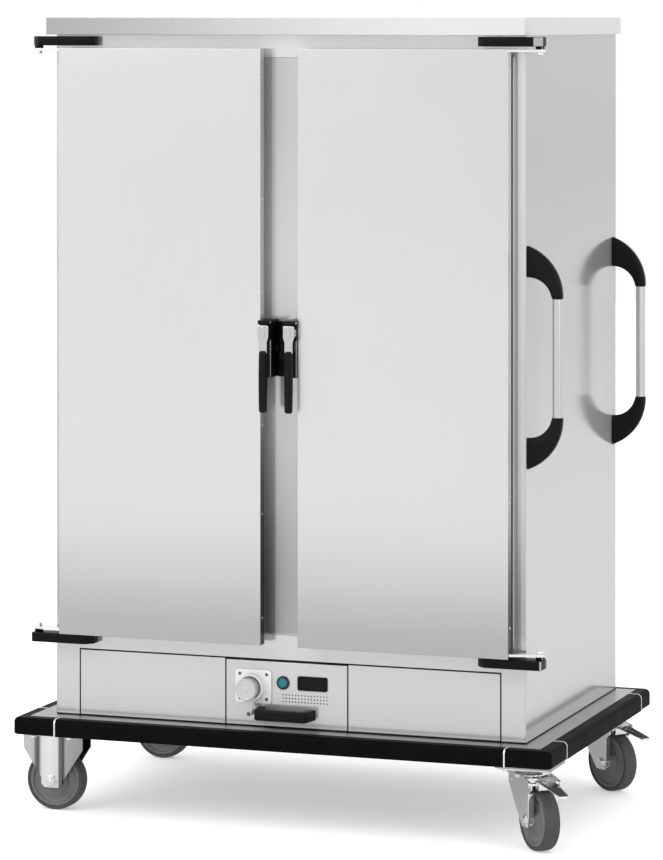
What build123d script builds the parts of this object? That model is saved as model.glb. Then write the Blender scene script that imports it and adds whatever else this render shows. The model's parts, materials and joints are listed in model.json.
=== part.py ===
from build123d import *
import os
from math import cos, radians, sin

os.makedirs("parts", exist_ok=True)

# Heated holding cabinet on castors, in millimetres.
# X to the right, front towards -Y, Z up, origin on the floor under the middle of the body.

# Body
BODY_WIDTH = 1012.0
BODY_DEPTH = 670.0
BODY_BOTTOM = 203.0
LID_TOP = 1643.0
LID_HEIGHT = 35.0
LID_FRONT = 37.0
LID_SIDE = 8.0
LID_BACK = 10.0
LID_RETURN = 26.0
SHEET = 1.5

# Front frame
FRAME_DEPTH = 30.0
STILE = 51.0
MULLION = 110.0
OPENING_BOTTOM = 394.0
LOWER_TOP = 341.5
PANEL_GAP = 3.0
PANEL_FOLD = 20.0
PANEL_TAB = 24.0

# Compartments
CHAMBER_DEPTH = 590.0
FLOOR_FOAM = 46.0
DUCT_WIDTH = 70.0
DUCT_DEPTH = 300.0
DUCT_HEAD = 80.0
LOUVRE_LENGTH = 160.0
LOUVRE_HEIGHT = 9.0
LOUVRE_COUNT = 6
RETURN_SLOT = 26.0
RACK_POST = 12.0
RACK_GAP = 20.0
RUNNER_FLANGE = 18.0
RUNNER_WEB = 20.0
RUNNER_SHEET = 2.0
RUNNER_COUNT = 10
RUNNER_FIRST = 86.0
RACK_BACK_GAP = 5.0
RACK_INSET = 45.0

# Doors
DOOR_GAP = 80.0
DOOR_OUTER = 482.0
DOOR_LAP_LOW = 18.5
DOOR_LAP_TOP = 20.0
DOOR_FRONT = 44.0
SKIN_DEPTH = 22.0
INNER_DEPTH = 8.0
INNER_INSET = 4.0
GASKET_INSET = 6.0
GASKET_WIDTH = 14.0
GASKET_CLEAR = 0.4
CORE_CLEAR = 0.5

# Hinges
PIVOT_OUT = 33.5
PIVOT_FORWARD = 15.0
PIN_R = 5.0
PIN_CLEAR = 0.05
BAR_LENGTH = 135.0
BAR_DEPTH = 38.0
BAR_HEIGHT = 19.0
BAR_CHAMFER = 16.0
BAR_SQUARE = 4.0
BAR_TOP_GAP = 5.5
BAR_LID_GAP = 3.5
BAR_BOTTOM_GAP = 1.0
BAR_END = 8.5
PLUG_R = 4.0
PLUG_PROUD = 1.2
ARM_SHEET = 5.0
ARM_R = 11.0
ARM_LENGTH = 130.0
ARM_BACK = 3.0
LOWER_ARM_LIFT = 6.0
SPACER_R = 9.0
PIN_NUT = 6.0
STACK_CLEAR = 0.4

# Door latches
LATCH_WIDTH = 25.0
LATCH_BOTTOM = 918.0
LATCH_TOP = 1025.0
LATCH_PROUD = 5.0
LATCH_BACK = 5.0
LATCH_CAP = 8.0
LATCH_CAP_PROUD = 18.0
LEVER_WIDTH = 23.5
LEVER_NECK = 17.0
LEVER_TONGUE = 9.0
LEVER_SHEET = 2.5
LEVER_PROUD = 20.0
LEVER_PIVOT_Z = 1009.0
LEVER_PIVOT_PROUD = 13.0
LEVER_PIN_R = 2.5
LEVER_FLANGE_R = 7.5
LEVER_TAPER = 8.0
LEVER_TOP = 1023.0
LEVER_LUG_R = 4.0
LEVER_LUG_WIDTH = 12.0
GRIP_TOP = 972.0
GRIP_BOTTOM = 848.0
GRIP_WIDTH = 14.0
GRIP_DEPTH = 14.0
GRIP_ROUND = 5.0
BOLT_HEIGHT = 14.0
BOLT_DEPTH = 10.0
BOLT_LENGTH = 23.0
BOLT_THROW = 8.0
BOLT_Z = 975.0
BOLT_BACK = 11.0
SLIDE_CLEAR = 0.3
KEEPER_WIDTH = 26.0
KEEPER_RIB = 11.0
KEEPER_BASE = 10.0
KEEPER_PROUD = 23.0
KEEPER_HEIGHT = 50.0

# Push handles on the right side
HANDLE_Z = 968.0
HANDLE_LENGTH = 444.0
HANDLE_OUT = 72.0
HANDLE_THICK = 22.0
HANDLE_FRONT_INSET = 13.0
HANDLE_BACK_INSET = 23.0
HANDLE_BACK_DROP = 16.0
TUBE_R = 10.0
TUBE_LENGTH = 240.0
BRACKET_FOOT = 63.0
BRACKET_ROUND = 5.0
BRACKET_NECK = 22.0
BRACKET_BEND = 0.66
OUTER_BEND_DROP = 0.32
INNER_BEND_RISE = 0.72
TUBE_SOCKET = 14.0
TUBE_CLEAR = 0.05

# Base and bumper
BASE_OVERHANG = 42.0
BASE_REAR = 5.0
BASE_SHEET = 3.0
BUMPER_DEPTH = 28.0
BUMPER_HEIGHT = 35.0
BUMPER_TOP_R = 10.0
BUMPER_BOTTOM_R = 4.0
CORNER_R = 14.0
CORNER_ARM = 93.0
FRONT_SIDE_ARM = 117.0
REAR_SIDE_ARM = 82.0
CLIP_WIDTH = 3.0
CLIP_PROUD = 0.8
PAD_THICK = 8.0
PAD_X = 116.0
PAD_Y = 100.0
CROSS_TUBE = 60.0
CROSS_TUBE_WALL = 2.5
CROSS_TUBE_PROUD = 6.0

# Castors
WHEEL_R = 62.5
TYRE_WIDTH = 33.0
TYRE_THICK = 8.0
TYRE_ROUND = 7.0
HUB_WIDTH = 40.0
HUB_RIM_WIDTH = 29.0
HUB_RIM = 6.0
HUB_WEB = 19.0
HUB_BOSS_R = 15.0
HUB_BOSS_FLARE = 10.0
AXLE_R = 6.0
AXLE_CLEAR = 0.05
AXLE_HEAD_R = 9.0
AXLE_HEAD = 5.0
AXLE_COLLAR_R = 9.0
COLLAR_CLEAR = 0.5
FORK_GAP = 42.0
FORK_SHEET = 3.0
FORK_FOOT = 13.5
FIXED_LEG_WIDTH = 132.0
FIXED_LEG_SQUARE = 28.0
FIXED_CHANNEL = 46.0
FIXED_CHANNEL_PROUD = 7.0
SWIVEL_LEG_BACK = 30.0
SWIVEL_FLANGE = 12.0
SWIVEL_FRONT = 17.0
PLATE_X = 105.0
PLATE_Y = 85.0
PLATE_THICK = 4.0
BOLT_PITCH_X = 80.0
BOLT_ROOM = 1.0
M8_R = 4.0
M8_CLEAR = 0.3
M8_HEAD_R = 7.0
M8_HEAD = 5.0
FIXED_PROUD = 12.0
FIXED_FRONT_INSET = 30.0
FRONT_SWIVEL_PROUD = 6.0
FRONT_SWIVEL_INSET = 8.0
REAR_SWIVEL_IN = 22.0
REAR_CASTOR_INSET = 49.0
TRAIL = 42.0
RACE_R = 29.0
RACE_HEIGHT = 8.0
CROWN_R = 37.0
CROWN_THICK = 7.0
KINGPIN_R = 7.0
KINGPIN_HEAD_R = 10.0
KINGPIN_HEAD = 3.0
RACE_CLEAR = 0.4
FRONT_CASTOR_DEG = -47.5
REAR_CASTOR_DEG = -34.0
PEDAL_REACH = 155.0
PEDAL_WIDTH = 34.0
PEDAL_TIP_WIDTH = 22.0
PEDAL_SHEET = 3.5
PEDAL_PIVOT_U = 62.0
PEDAL_PIVOT_Z = 134.0
PEDAL_PIN_R = 4.0
PEDAL_EAR = 5.0
PEDAL_HEEL = 9.0
PEDAL_FLAT = 14.0
PEDAL_HOLLOW = 2.0
SHOE_STEP = 4.0
SHOE_BACK = 3.0
PEDAL_DROP = 12.0
SHOE_DROP = 13.0

# Heating drawer
DRAWER_WIDTH = 260.0
FASCIA_DROP = 2.0
CHASSIS_WIDTH = 240.0
CHASSIS_LENGTH = 500.0
CHASSIS_WALL = 88.0
CHASSIS_FRONT_DROP = 15.0
CHASSIS_LIFT = 8.0
RUNNER_STRIP = 11.0
RAIL_Z = 258.0
RAIL_LIP = 3.0
DIVIDER_X = 140.0
DIVIDER_LENGTH = 520.0
RUNNER_OUT = 12.0
BOW_LENGTH = 126.0
BOW_BOTTOM = 222.0
BOW_HEIGHT = 22.0
BOW_CORNER = 9.0
BOW_ROUND = 4.0
BOW_OUT = 40.0
BOW_BAR = 15.0
BOW_POST = 16.0
BOW_LEAN = 7.0
VENT_COLUMNS = 15
VENT_ROWS = 3
VENT_PITCH_X = 6.75
VENT_PITCH_Z = 6.8
VENT_X = 39.8
VENT_Z = 264.0
VENT_R = 1.4

# Power inlet, button and display
INLET_X = -70.5
INLET_Z = 285.0
FLANGE_WIDTH = 78.0
FLANGE_HEIGHT = 69.0
FLANGE_THICK = 4.0
FLANGE_SCREW_PITCH = 58.0
FLANGE_SCREW_R = 3.4
SHROUD_R = 27.0
SHROUD_BORE_R = 23.0
SHROUD_OUT = 24.0
SHROUD_IN = 34.0
INLET_PIN_R = 2.5
INLET_PIN_OUT = 14.0
INLET_PIN_CIRCLE = 9.0
CAP_R = 22.0
CAP_OUT = 50.0
CAP_WALL = 3.0
CAP_CLEAR = 1.0
CAP_ARM_DROP = 52.0
CAP_ARM_SHIFT = 0.5
CAP_ARM_TOP = 26.0
CAP_ARM_THICK = 4.0
CAP_POST_R = 5.0
CAP_SCREW_R = 2.0
BUTTON_X = -7.0
BUTTON_Z = 295.0
BEZEL_R = 14.0
BUTTON_R = 10.0
BEZEL_PROUD = 3.0
BUTTON_PROUD = 5.5
BUTTON_BODY = 24.0
BUTTON_CLEAR = 0.3
DISPLAY_X = 56.5
DISPLAY_Z = 296.0
DISPLAY_WIDTH = 64.0
DISPLAY_HEIGHT = 29.0
DISPLAY_ROUND = 4.0
DISPLAY_PROUD = 2.5
DISPLAY_RIM = 4.0

# Things inside the heating drawer
FAN_Y = -190.0
MOTOR_R = 30.0
MOTOR_HEIGHT = 40.0
SHAFT_R = 3.0
SHAFT_CLEAR = 0.05
IMPELLER_R = 46.0
IMPELLER_HEIGHT = 20.0
IMPELLER_LIFT = 3.0
BLADES = 9
ELEMENT_R = 4.0
ELEMENT_Z = 262.0
ELEMENT_HALF = 80.0
ELEMENT_PITCH = 32.0
ELEMENT_FRONT = -110.0
ELEMENT_BACK = 150.0
CONTROL_DEPTH = 55.0

# Places worked out from the sizes above
FRONT = -BODY_DEPTH / 2
BACK = BODY_DEPTH / 2
SIDE = BODY_WIDTH / 2
BODY_TOP = LID_TOP - LID_HEIGHT
BAR_TOP_Z = BODY_TOP - BAR_LID_GAP - BAR_HEIGHT
DOOR_TOP = BAR_TOP_Z - BAR_TOP_GAP
DOOR_BOTTOM = OPENING_BOTTOM - DOOR_LAP_LOW
OPENING_TOP = DOOR_TOP - DOOR_LAP_TOP
DUCT_TOP = OPENING_TOP - DUCT_HEAD
RUNNER_PITCH = (OPENING_TOP - OPENING_BOTTOM - RUNNER_FIRST) / RUNNER_COUNT
RUNNER_LENGTH = CHAMBER_DEPTH - RACK_INSET - RACK_BACK_GAP
FRAME_HALF = SIDE - SHEET
FRAME_BACK = FRONT + FRAME_DEPTH
OPEN_IN = MULLION / 2
OPEN_OUT = SIDE - STILE
DOOR_IN = DOOR_GAP / 2
DOOR_Y = FRONT - DOOR_FRONT
PIVOT_X = SIDE + PIVOT_OUT
PIVOT_Y = FRONT - PIVOT_FORWARD
LATCH_IN = DOOR_IN - LATCH_WIDTH
LATCH_MID = DOOR_IN - LATCH_WIDTH / 2
LATCH_Y = DOOR_Y - LATCH_PROUD
LEVER_Y = DOOR_Y - LEVER_PROUD
LEVER_PIVOT_Y = DOOR_Y - LEVER_PIVOT_PROUD
BAR_LOW_Z = DOOR_BOTTOM - BAR_BOTTOM_GAP - BAR_HEIGHT
TOP_ARM_Z = DOOR_TOP - ARM_SHEET - STACK_CLEAR
LOW_ARM_Z = DOOR_BOTTOM - BAR_BOTTOM_GAP + LOWER_ARM_LIFT
CROSS_TUBE_OUT = SIDE + CROSS_TUBE_PROUD
FIXED_X = SIDE + FIXED_PROUD
FIXED_FRONT_Y = FRONT + FIXED_FRONT_INSET
FRONT_SWIVEL_X = SIDE + FRONT_SWIVEL_PROUD
FRONT_SWIVEL_Y = FRONT + FRONT_SWIVEL_INSET
REAR_SWIVEL_X = SIDE - REAR_SWIVEL_IN
REAR_CASTOR_Y = BACK - REAR_CASTOR_INSET
BASE_X = SIDE + BASE_OVERHANG
BASE_FRONT = FRONT - BASE_OVERHANG
BASE_BACK = BACK + BASE_REAR
BUMPER_X = BASE_X + BUMPER_DEPTH
BUMPER_FRONT = BASE_FRONT - BUMPER_DEPTH
BUMPER_BACK = BASE_BACK + BUMPER_DEPTH
BUMPER_BOTTOM = BODY_BOTTOM - BUMPER_HEIGHT
PLATE_TOP = BUMPER_BOTTOM - PAD_THICK
PLATE_LOW = PLATE_TOP - PLATE_THICK
CROWN_TOP = PLATE_LOW - RACE_HEIGHT - RACE_CLEAR
DRAWER_LOW = BODY_BOTTOM + PANEL_GAP
DRAWER_HIGH = LOWER_TOP - PANEL_GAP
CHASSIS_LOW = DRAWER_LOW + CHASSIS_LIFT
CHASSIS_HALF = CHASSIS_WIDTH / 2
CHASSIS_BACK = FRONT + SHEET + CHASSIS_LENGTH
SHROUD_Y = FRONT - SHROUD_OUT
CAP_PIVOT_X = INLET_X - CAP_ARM_SHIFT
CAP_PIVOT_Z = INLET_Z - CAP_ARM_DROP
CHAMBER_BACK = FRAME_BACK + CHAMBER_DEPTH
BOLT_PITCH_Y = FORK_GAP + 2 * (FORK_SHEET + M8_HEAD_R + BOLT_ROOM)


def block(x0, x1, y0, y1, z0, z1):
    """A box between two corners."""
    centre = Pos((x0 + x1) / 2, (y0 + y1) / 2, (z0 + z1) / 2)
    return centre * Box(abs(x1 - x0), abs(y1 - y0), abs(z1 - z0))


def rod(point, axis, radius, length):
    """A round bar that starts at a point and runs along an axis."""
    plane = Plane(origin=point, z_dir=axis)
    return extrude(plane * Circle(radius), length)


def prism(points, axis, length):
    """A flat outline given by its corners, pushed along an axis."""
    face = make_face(Polyline(*points, close=True))
    return extrude(face, length, dir=axis)


def along(shape, axis):
    """The edges of a shape that run along an axis."""
    return shape.edges().filter_by(axis)


def both_sides(shape):
    """A piece and its mirror image on the other side of the cabinet."""
    return [shape, mirror(shape, Plane.YZ)]


def save(name, *solids):
    """Write one node, as separate solids where it has several."""
    pieces = [s for shape in solids for s in shape.solids()]
    export_step(pieces[0] if len(pieces) == 1 else Compound(children=pieces), f"parts/{name}.step")


def pan(x0, x1, y_face, y_edge, z0, z1, sheet):
    """A sheet-metal pan: a face at one depth and four folded edges that run to the other."""
    inner_face = y_face + sheet * (1 if y_edge > y_face else -1)
    solid = block(x0, x1, y_face, y_edge, z0, z1)
    return solid - block(x0 + sheet, x1 - sheet, inner_face, y_edge, z0 + sheet, z1 - sheet)


# Base frame

def base_frame():
    """Folded top plate with a rim, two cross tubes and a welded pad over each castor."""
    top = BODY_BOTTOM
    frame = block(-BASE_X, BASE_X, BASE_FRONT, BASE_BACK, BUMPER_BOTTOM, top)
    wall, hollow = BASE_SHEET, CROSS_TUBE_WALL
    y0, y1 = BASE_FRONT + wall, BASE_BACK - wall
    frame -= block(-BASE_X + wall, BASE_X - wall, y0, y1, BUMPER_BOTTOM, top - wall)
    for x0 in (-CROSS_TUBE_OUT, CROSS_TUBE_OUT - CROSS_TUBE):
        tube = block(x0, x0 + CROSS_TUBE, y0, y1, BUMPER_BOTTOM, top - wall)
        tube -= block(x0 + hollow, x0 + CROSS_TUBE - hollow, y0, y1, BUMPER_BOTTOM + hollow, top - wall)
        frame += tube
    for name, x, y, turn, trail in castor_places():
        frame += block(x - PAD_X / 2, x + PAD_X / 2, y - PAD_Y / 2, y + PAD_Y / 2, PLATE_TOP, BUMPER_BOTTOM)
    for point in castor_bolt_points():
        frame -= rod((*point, PLATE_TOP), (0, 0, 1), M8_R + M8_CLEAR, PAD_THICK + CROSS_TUBE_WALL)
    return frame


def castor_bolt_points():
    """The sixteen castor bolt places in plan."""
    return [
        (x + i * BOLT_PITCH_X / 2, y + j * BOLT_PITCH_Y / 2)
        for name, x, y, turn, trail in castor_places()
        for i in (-1, 1)
        for j in (-1, 1)
    ]


def bumper_section(proud=0.0):
    """The bumper's rounded section as a face, seen along the rail, with its back on x = 0."""
    depth = BUMPER_DEPTH + proud
    with BuildSketch() as sketch:
        with Locations((depth / 2, proud / 2)):
            Rectangle(depth, BUMPER_HEIGHT + proud)
        outer = sketch.vertices().group_by(Axis.X)[-1].sort_by(Axis.Y)
        fillet(outer[1], BUMPER_TOP_R)
        fillet(outer[0], BUMPER_BOTTOM_R)
    return sketch.sketch


def bumper_run(length, proud=0.0):
    """A straight stretch of bumper along +Y with its back on x = 0 and its middle at height 0."""
    face = Plane(origin=(0, 0, 0), x_dir=(1, 0, 0), z_dir=(0, -1, 0)) * bumper_section(proud)
    return extrude(face, -length)


def bumper_parts():
    """Straight rails, moulded corners and steel joint clips."""
    middle = (BODY_BOTTOM + BUMPER_BOTTOM) / 2
    low = BUMPER_FRONT + FRONT_SIDE_ARM
    high = BUMPER_BACK - REAR_SIDE_ARM
    across = BUMPER_X - CORNER_ARM
    rails, corners, clips = [], [], []
    for turn, reach, start, end in (
        (0, BASE_X, low, high), (180, BASE_X, -high, -low),
        (-90, -BASE_FRONT, -across, across), (90, BASE_BACK, -across, across),
    ):
        spin = Rot(0, 0, turn)
        rail = Pos(reach, start + CLIP_WIDTH, middle) * bumper_run(end - start - 2 * CLIP_WIDTH)
        rails.append(spin * rail)
        for place in (start, end - CLIP_WIDTH):
            clips.append(spin * Pos(reach, place, middle) * bumper_run(CLIP_WIDTH, CLIP_PROUD))
    for shape in both_sides(Pos(BASE_X, BASE_BACK, BUMPER_BOTTOM) * bumper_corner(REAR_SIDE_ARM)):
        corners.append(shape)
    front = mirror(bumper_corner(FRONT_SIDE_ARM), Plane.XZ)
    for shape in both_sides(Pos(BASE_X, BASE_FRONT, BUMPER_BOTTOM) * front):
        corners.append(shape)
    return rails, corners, clips


def bumper_corner(side_arm):
    """One moulded corner with its inner corner at the origin and its side arm as long as asked."""
    plan = make_face(
        Polyline(
            (0, -side_arm + BUMPER_DEPTH), (BUMPER_DEPTH, -side_arm + BUMPER_DEPTH),
            (BUMPER_DEPTH, BUMPER_DEPTH), (-CORNER_ARM + BUMPER_DEPTH, BUMPER_DEPTH),
            (-CORNER_ARM + BUMPER_DEPTH, 0), (0, 0), close=True,
        )
    )
    corner = extrude(plan, BUMPER_HEIGHT)
    tip = along(corner, Axis.Z).filter_by_position(Axis.X, BUMPER_DEPTH - 1, BUMPER_DEPTH + 1)
    corner = fillet(tip.filter_by_position(Axis.Y, BUMPER_DEPTH - 1, BUMPER_DEPTH + 1), CORNER_R)
    outside = [e for e in corner.edges() if on_outside(e)]
    corner = fillet([e for e in outside if e.center().Z > BUMPER_HEIGHT / 2], BUMPER_TOP_R)
    outside = [e for e in corner.edges() if on_outside(e)]
    return fillet([e for e in outside if e.center().Z < BUMPER_HEIGHT / 2], BUMPER_BOTTOM_R)


def on_outside(edge):
    """Whether an edge is on the outer rim of a corner piece, at its top or bottom."""
    spot = edge.center()
    flat = abs(spot.Z) < 0.01 or abs(spot.Z - BUMPER_HEIGHT) < 0.01
    straight = abs(spot.X - BUMPER_DEPTH) < 0.01 or abs(spot.Y - BUMPER_DEPTH) < 0.01
    arc = spot.X > 1 and spot.Y > 1
    return flat and (straight or arc)


# Cabinet body

def side_panel():
    """The right outer skin."""
    return block(FRAME_HALF, SIDE, FRONT, BACK, BODY_BOTTOM, BODY_TOP)


def top_lid():
    """A folded lid with an inward return all round underneath."""
    x, y0, y1 = SIDE + LID_SIDE, FRONT - LID_FRONT, BACK + LID_BACK
    lid = block(-x, x, y0, y1, BODY_TOP, LID_TOP)
    lid -= block(-x + SHEET, x - SHEET, y0 + SHEET, y1 - SHEET, BODY_TOP + SHEET, LID_TOP - SHEET)
    inner_x = SIDE - LID_RETURN
    lid -= block(-inner_x, inner_x, FRONT + LID_RETURN, BACK - LID_RETURN, BODY_TOP, BODY_TOP + SHEET)
    return lid


def front_openings(grow=0.0):
    """The two chamber mouths and the bay below them, grown on every side for the folds round them."""
    low, high = OPENING_BOTTOM - grow, OPENING_TOP + grow
    openings = [block(-OPEN_OUT - grow, OPEN_OUT + grow, FRONT, FRAME_BACK, BODY_BOTTOM, LOWER_TOP + grow)]
    for side in (-1, 1):
        x0, x1 = side * (OPEN_IN - grow), side * (OPEN_OUT + grow)
        openings.append(block(x0, x1, FRONT, FRAME_BACK, low, high))
    return openings


def front_frame():
    """Stiles, rails and the middle post, each folded from sheet and hollow behind, cut where they meet."""
    frame = block(-FRAME_HALF, FRAME_HALF, FRONT, FRAME_BACK, BODY_BOTTOM, BODY_TOP)
    inside = FRAME_HALF - SHEET
    hollow = block(-inside, inside, FRONT + SHEET, FRAME_BACK, BODY_BOTTOM + SHEET, BODY_TOP - SHEET)
    for opening in front_openings(SHEET):
        hollow -= opening
    for cut in (*front_openings(), hollow):
        frame -= cut
    members = [
        (OPEN_OUT, FRAME_HALF, BODY_BOTTOM, BODY_TOP), (-FRAME_HALF, -OPEN_OUT, BODY_BOTTOM, BODY_TOP),
        (-OPEN_OUT, OPEN_OUT, OPENING_TOP, BODY_TOP), (-OPEN_OUT, OPEN_OUT, LOWER_TOP, OPENING_BOTTOM),
        (-OPEN_IN, OPEN_IN, OPENING_BOTTOM, OPENING_TOP),
    ]
    return [frame & block(x0, x1, FRONT, FRAME_BACK, z0, z1) for x0, x1, z0, z1 in members]


def louvre_heights():
    """Heights of the warm-air slots in the chamber walls."""
    step = (DUCT_TOP - OPENING_BOTTOM) / (LOUVRE_COUNT + 1)
    return [OPENING_BOTTOM + step * (i + 1) for i in range(LOUVRE_COUNT)]


def air_slots():
    """The warm-air slots beside the duct and the return slot in the chamber floor."""
    slots = []
    for z in louvre_heights():
        half = LOUVRE_HEIGHT / 2
        slots.append(block(0, OPEN_IN + 1, -LOUVRE_LENGTH / 2, LOUVRE_LENGTH / 2, z - half, z + half))
    middle = (OPEN_IN + OPEN_OUT) / 2
    floor = OPENING_BOTTOM
    slots.append(
        block(
            middle - LOUVRE_LENGTH / 2, middle + LOUVRE_LENGTH / 2,
            FRAME_BACK + RETURN_SLOT, FRAME_BACK + 2 * RETURN_SLOT,
            floor - FLOOR_FOAM - 2 * SHEET, floor + 1,
        )
    )
    return slots


def inner_liner():
    """The right heated chamber, an open-fronted steel box, as its floor, ceiling, two walls and back."""
    x0, x1 = OPEN_IN - SHEET, OPEN_OUT + SHEET
    z0, z1 = OPENING_BOTTOM - SHEET, OPENING_TOP + SHEET
    liner = block(x0, x1, FRAME_BACK, CHAMBER_BACK + SHEET, z0, z1)
    liner -= block(OPEN_IN, OPEN_OUT, FRAME_BACK, CHAMBER_BACK, OPENING_BOTTOM, OPENING_TOP)
    for slot in air_slots():
        liner -= slot
    y1 = CHAMBER_BACK + SHEET
    panels = [
        block(x0, x1, FRAME_BACK, y1, z0, OPENING_BOTTOM), block(x0, x1, FRAME_BACK, y1, OPENING_TOP, z1),
        block(x0, OPEN_IN, FRAME_BACK, y1, OPENING_BOTTOM, OPENING_TOP),
        block(OPEN_OUT, x1, FRAME_BACK, y1, OPENING_BOTTOM, OPENING_TOP),
        block(OPEN_IN, OPEN_OUT, CHAMBER_BACK, y1, OPENING_BOTTOM, OPENING_TOP),
    ]
    return [liner & panel for panel in panels]


def insulation():
    """Foam round both chambers, with the warm-air duct between them."""
    low = OPENING_BOTTOM - SHEET - FLOOR_FOAM
    foam = block(-FRAME_HALF, FRAME_HALF, FRAME_BACK, BACK - SHEET, low, BODY_TOP)
    foam -= block(-DUCT_WIDTH / 2, DUCT_WIDTH / 2, -DUCT_DEPTH / 2, DUCT_DEPTH / 2, low, DUCT_TOP)
    hole = block(
        OPEN_IN - SHEET, OPEN_OUT + SHEET, FRAME_BACK, CHAMBER_BACK + SHEET,
        OPENING_BOTTOM - SHEET, OPENING_TOP + SHEET,
    )
    for cut in [hole, *air_slots()]:
        for shape in both_sides(cut):
            foam -= shape
    return foam


def tray_rack():
    """Posts and angle runners for both walls of the right chamber, as separate pieces."""
    pieces = []
    y0 = FRAME_BACK + RACK_INSET
    y1 = y0 + RUNNER_LENGTH
    top = RUNNER_FIRST + RUNNER_PITCH * (RUNNER_COUNT - 1) + RUNNER_WEB + OPENING_BOTTOM + RUNNER_WEB
    for wall, inward in ((OPEN_IN, 1), (OPEN_OUT, -1)):
        face = wall + inward * RACK_GAP
        for y in (y0 + RACK_INSET, y1 - RACK_INSET):
            pieces.append(block(face - inward * RACK_POST, face, y, y + RACK_POST, OPENING_BOTTOM, top))
            for z in (OPENING_BOTTOM + RUNNER_WEB, top - 2 * RUNNER_WEB):
                foot = block(wall, face - inward * RACK_POST, y, y + RACK_POST, z, z + RUNNER_WEB / 2)
                pieces[-1] += foot
        for i in range(RUNNER_COUNT):
            z = OPENING_BOTTOM + RUNNER_FIRST + i * RUNNER_PITCH
            web = block(face, face + inward * RUNNER_SHEET, y0, y1, z, z + RUNNER_WEB)
            web += block(face, face + inward * RUNNER_FLANGE, y0, y1, z, z + RUNNER_SHEET)
            pieces.append(web)
    return pieces


def lower_panel():
    """The right fixed front panel, with the tabs that it is fixed by."""
    x0, x1 = DRAWER_WIDTH / 2 + PANEL_GAP, OPEN_OUT - PANEL_GAP
    panel = pan(x0, x1, FRONT, FRONT + PANEL_FOLD, DRAWER_LOW, DRAWER_HIGH, SHEET)
    y0, y1 = FRONT + PANEL_FOLD / 2, FRONT + PANEL_FOLD
    for x in (x0 + PANEL_TAB, x1 - 2 * PANEL_TAB):
        panel += block(x, x + PANEL_TAB, y0, y1, BODY_BOTTOM, DRAWER_LOW + SHEET)
        panel += block(x, x + PANEL_TAB, y0, y1, DRAWER_HIGH - SHEET, LOWER_TOP)
    return panel


# Hinges

def hinge_bar(z, spacer_up):
    """One moulded hinge bar on the right, with its spacer ring and steel pin as separate pieces."""
    x1 = PIVOT_X + BAR_END
    x0 = x1 - BAR_LENGTH
    y0, y1 = FRONT - BAR_DEPTH, FRONT
    bar = block(x0, x1, y0, y1, z, z + BAR_HEIGHT)
    inner_edge, outer_edge = along(bar, Axis.Z).filter_by_position(Axis.Y, y0 - 1, y0 + 1).sort_by(Axis.X)
    bar = chamfer(outer_edge, BAR_SQUARE if spacer_up else BAR_CHAMFER)
    bar = chamfer(inner_edge, BAR_CHAMFER)
    for share in (0.22, 0.5):
        x = x0 + BAR_LENGTH * share
        bar += rod((x, y0, z + BAR_HEIGHT / 2), (0, -1, 0), PLUG_R, PLUG_PROUD)
    bar -= rod((PIVOT_X, PIVOT_Y, z), (0, 0, 1), PIN_R, BAR_HEIGHT)
    if spacer_up:
        low, high = z + BAR_HEIGHT, LOW_ARM_Z - STACK_CLEAR
        arm_far, pin_start = LOW_ARM_Z + ARM_SHEET + STACK_CLEAR, z
    else:
        low, high = TOP_ARM_Z + ARM_SHEET + STACK_CLEAR, z
        arm_far, pin_start = TOP_ARM_Z - STACK_CLEAR, z + BAR_HEIGHT
    axis = (0, 0, 1) if spacer_up else (0, 0, -1)
    spacer = rod((PIVOT_X, PIVOT_Y, low), (0, 0, 1), SPACER_R, high - low)
    spacer -= rod((PIVOT_X, PIVOT_Y, low), (0, 0, 1), PIN_R, high - low)
    pin = rod((PIVOT_X, PIVOT_Y, pin_start), axis, PIN_R, abs(arm_far - pin_start) + PIN_NUT)
    pin += rod((PIVOT_X, PIVOT_Y, arm_far), axis, SPACER_R - 2, PIN_NUT)
    return bar, spacer, pin


def hinge_arm(z, grow=0.0):
    """A flat steel arm from inside the right door out to the pivot."""
    x0 = DOOR_OUTER - ARM_LENGTH + (PIVOT_X - DOOR_OUTER)
    outline = make_face(
        Polyline(
            (x0 - grow, DOOR_Y + 2 * SHEET + 2 - grow), (DOOR_OUTER + grow, DOOR_Y + 2 * SHEET + 2 - grow),
            (PIVOT_X, PIVOT_Y - ARM_R - grow), (PIVOT_X, PIVOT_Y + ARM_R + grow),
            (DOOR_OUTER, DOOR_Y + SKIN_DEPTH + ARM_BACK + grow),
            (x0 - grow, DOOR_Y + SKIN_DEPTH + ARM_BACK + grow), close=True,
        )
    )
    arm = extrude(Pos(0, 0, z - grow) * outline, ARM_SHEET + 2 * grow)
    arm += rod((PIVOT_X, PIVOT_Y, z - grow), (0, 0, 1), ARM_R + grow, ARM_SHEET + 2 * grow)
    if not grow:
        arm -= rod((PIVOT_X, PIVOT_Y, z), (0, 0, 1), PIN_R + PIN_CLEAR, ARM_SHEET)
    return arm


# Doors

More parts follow.
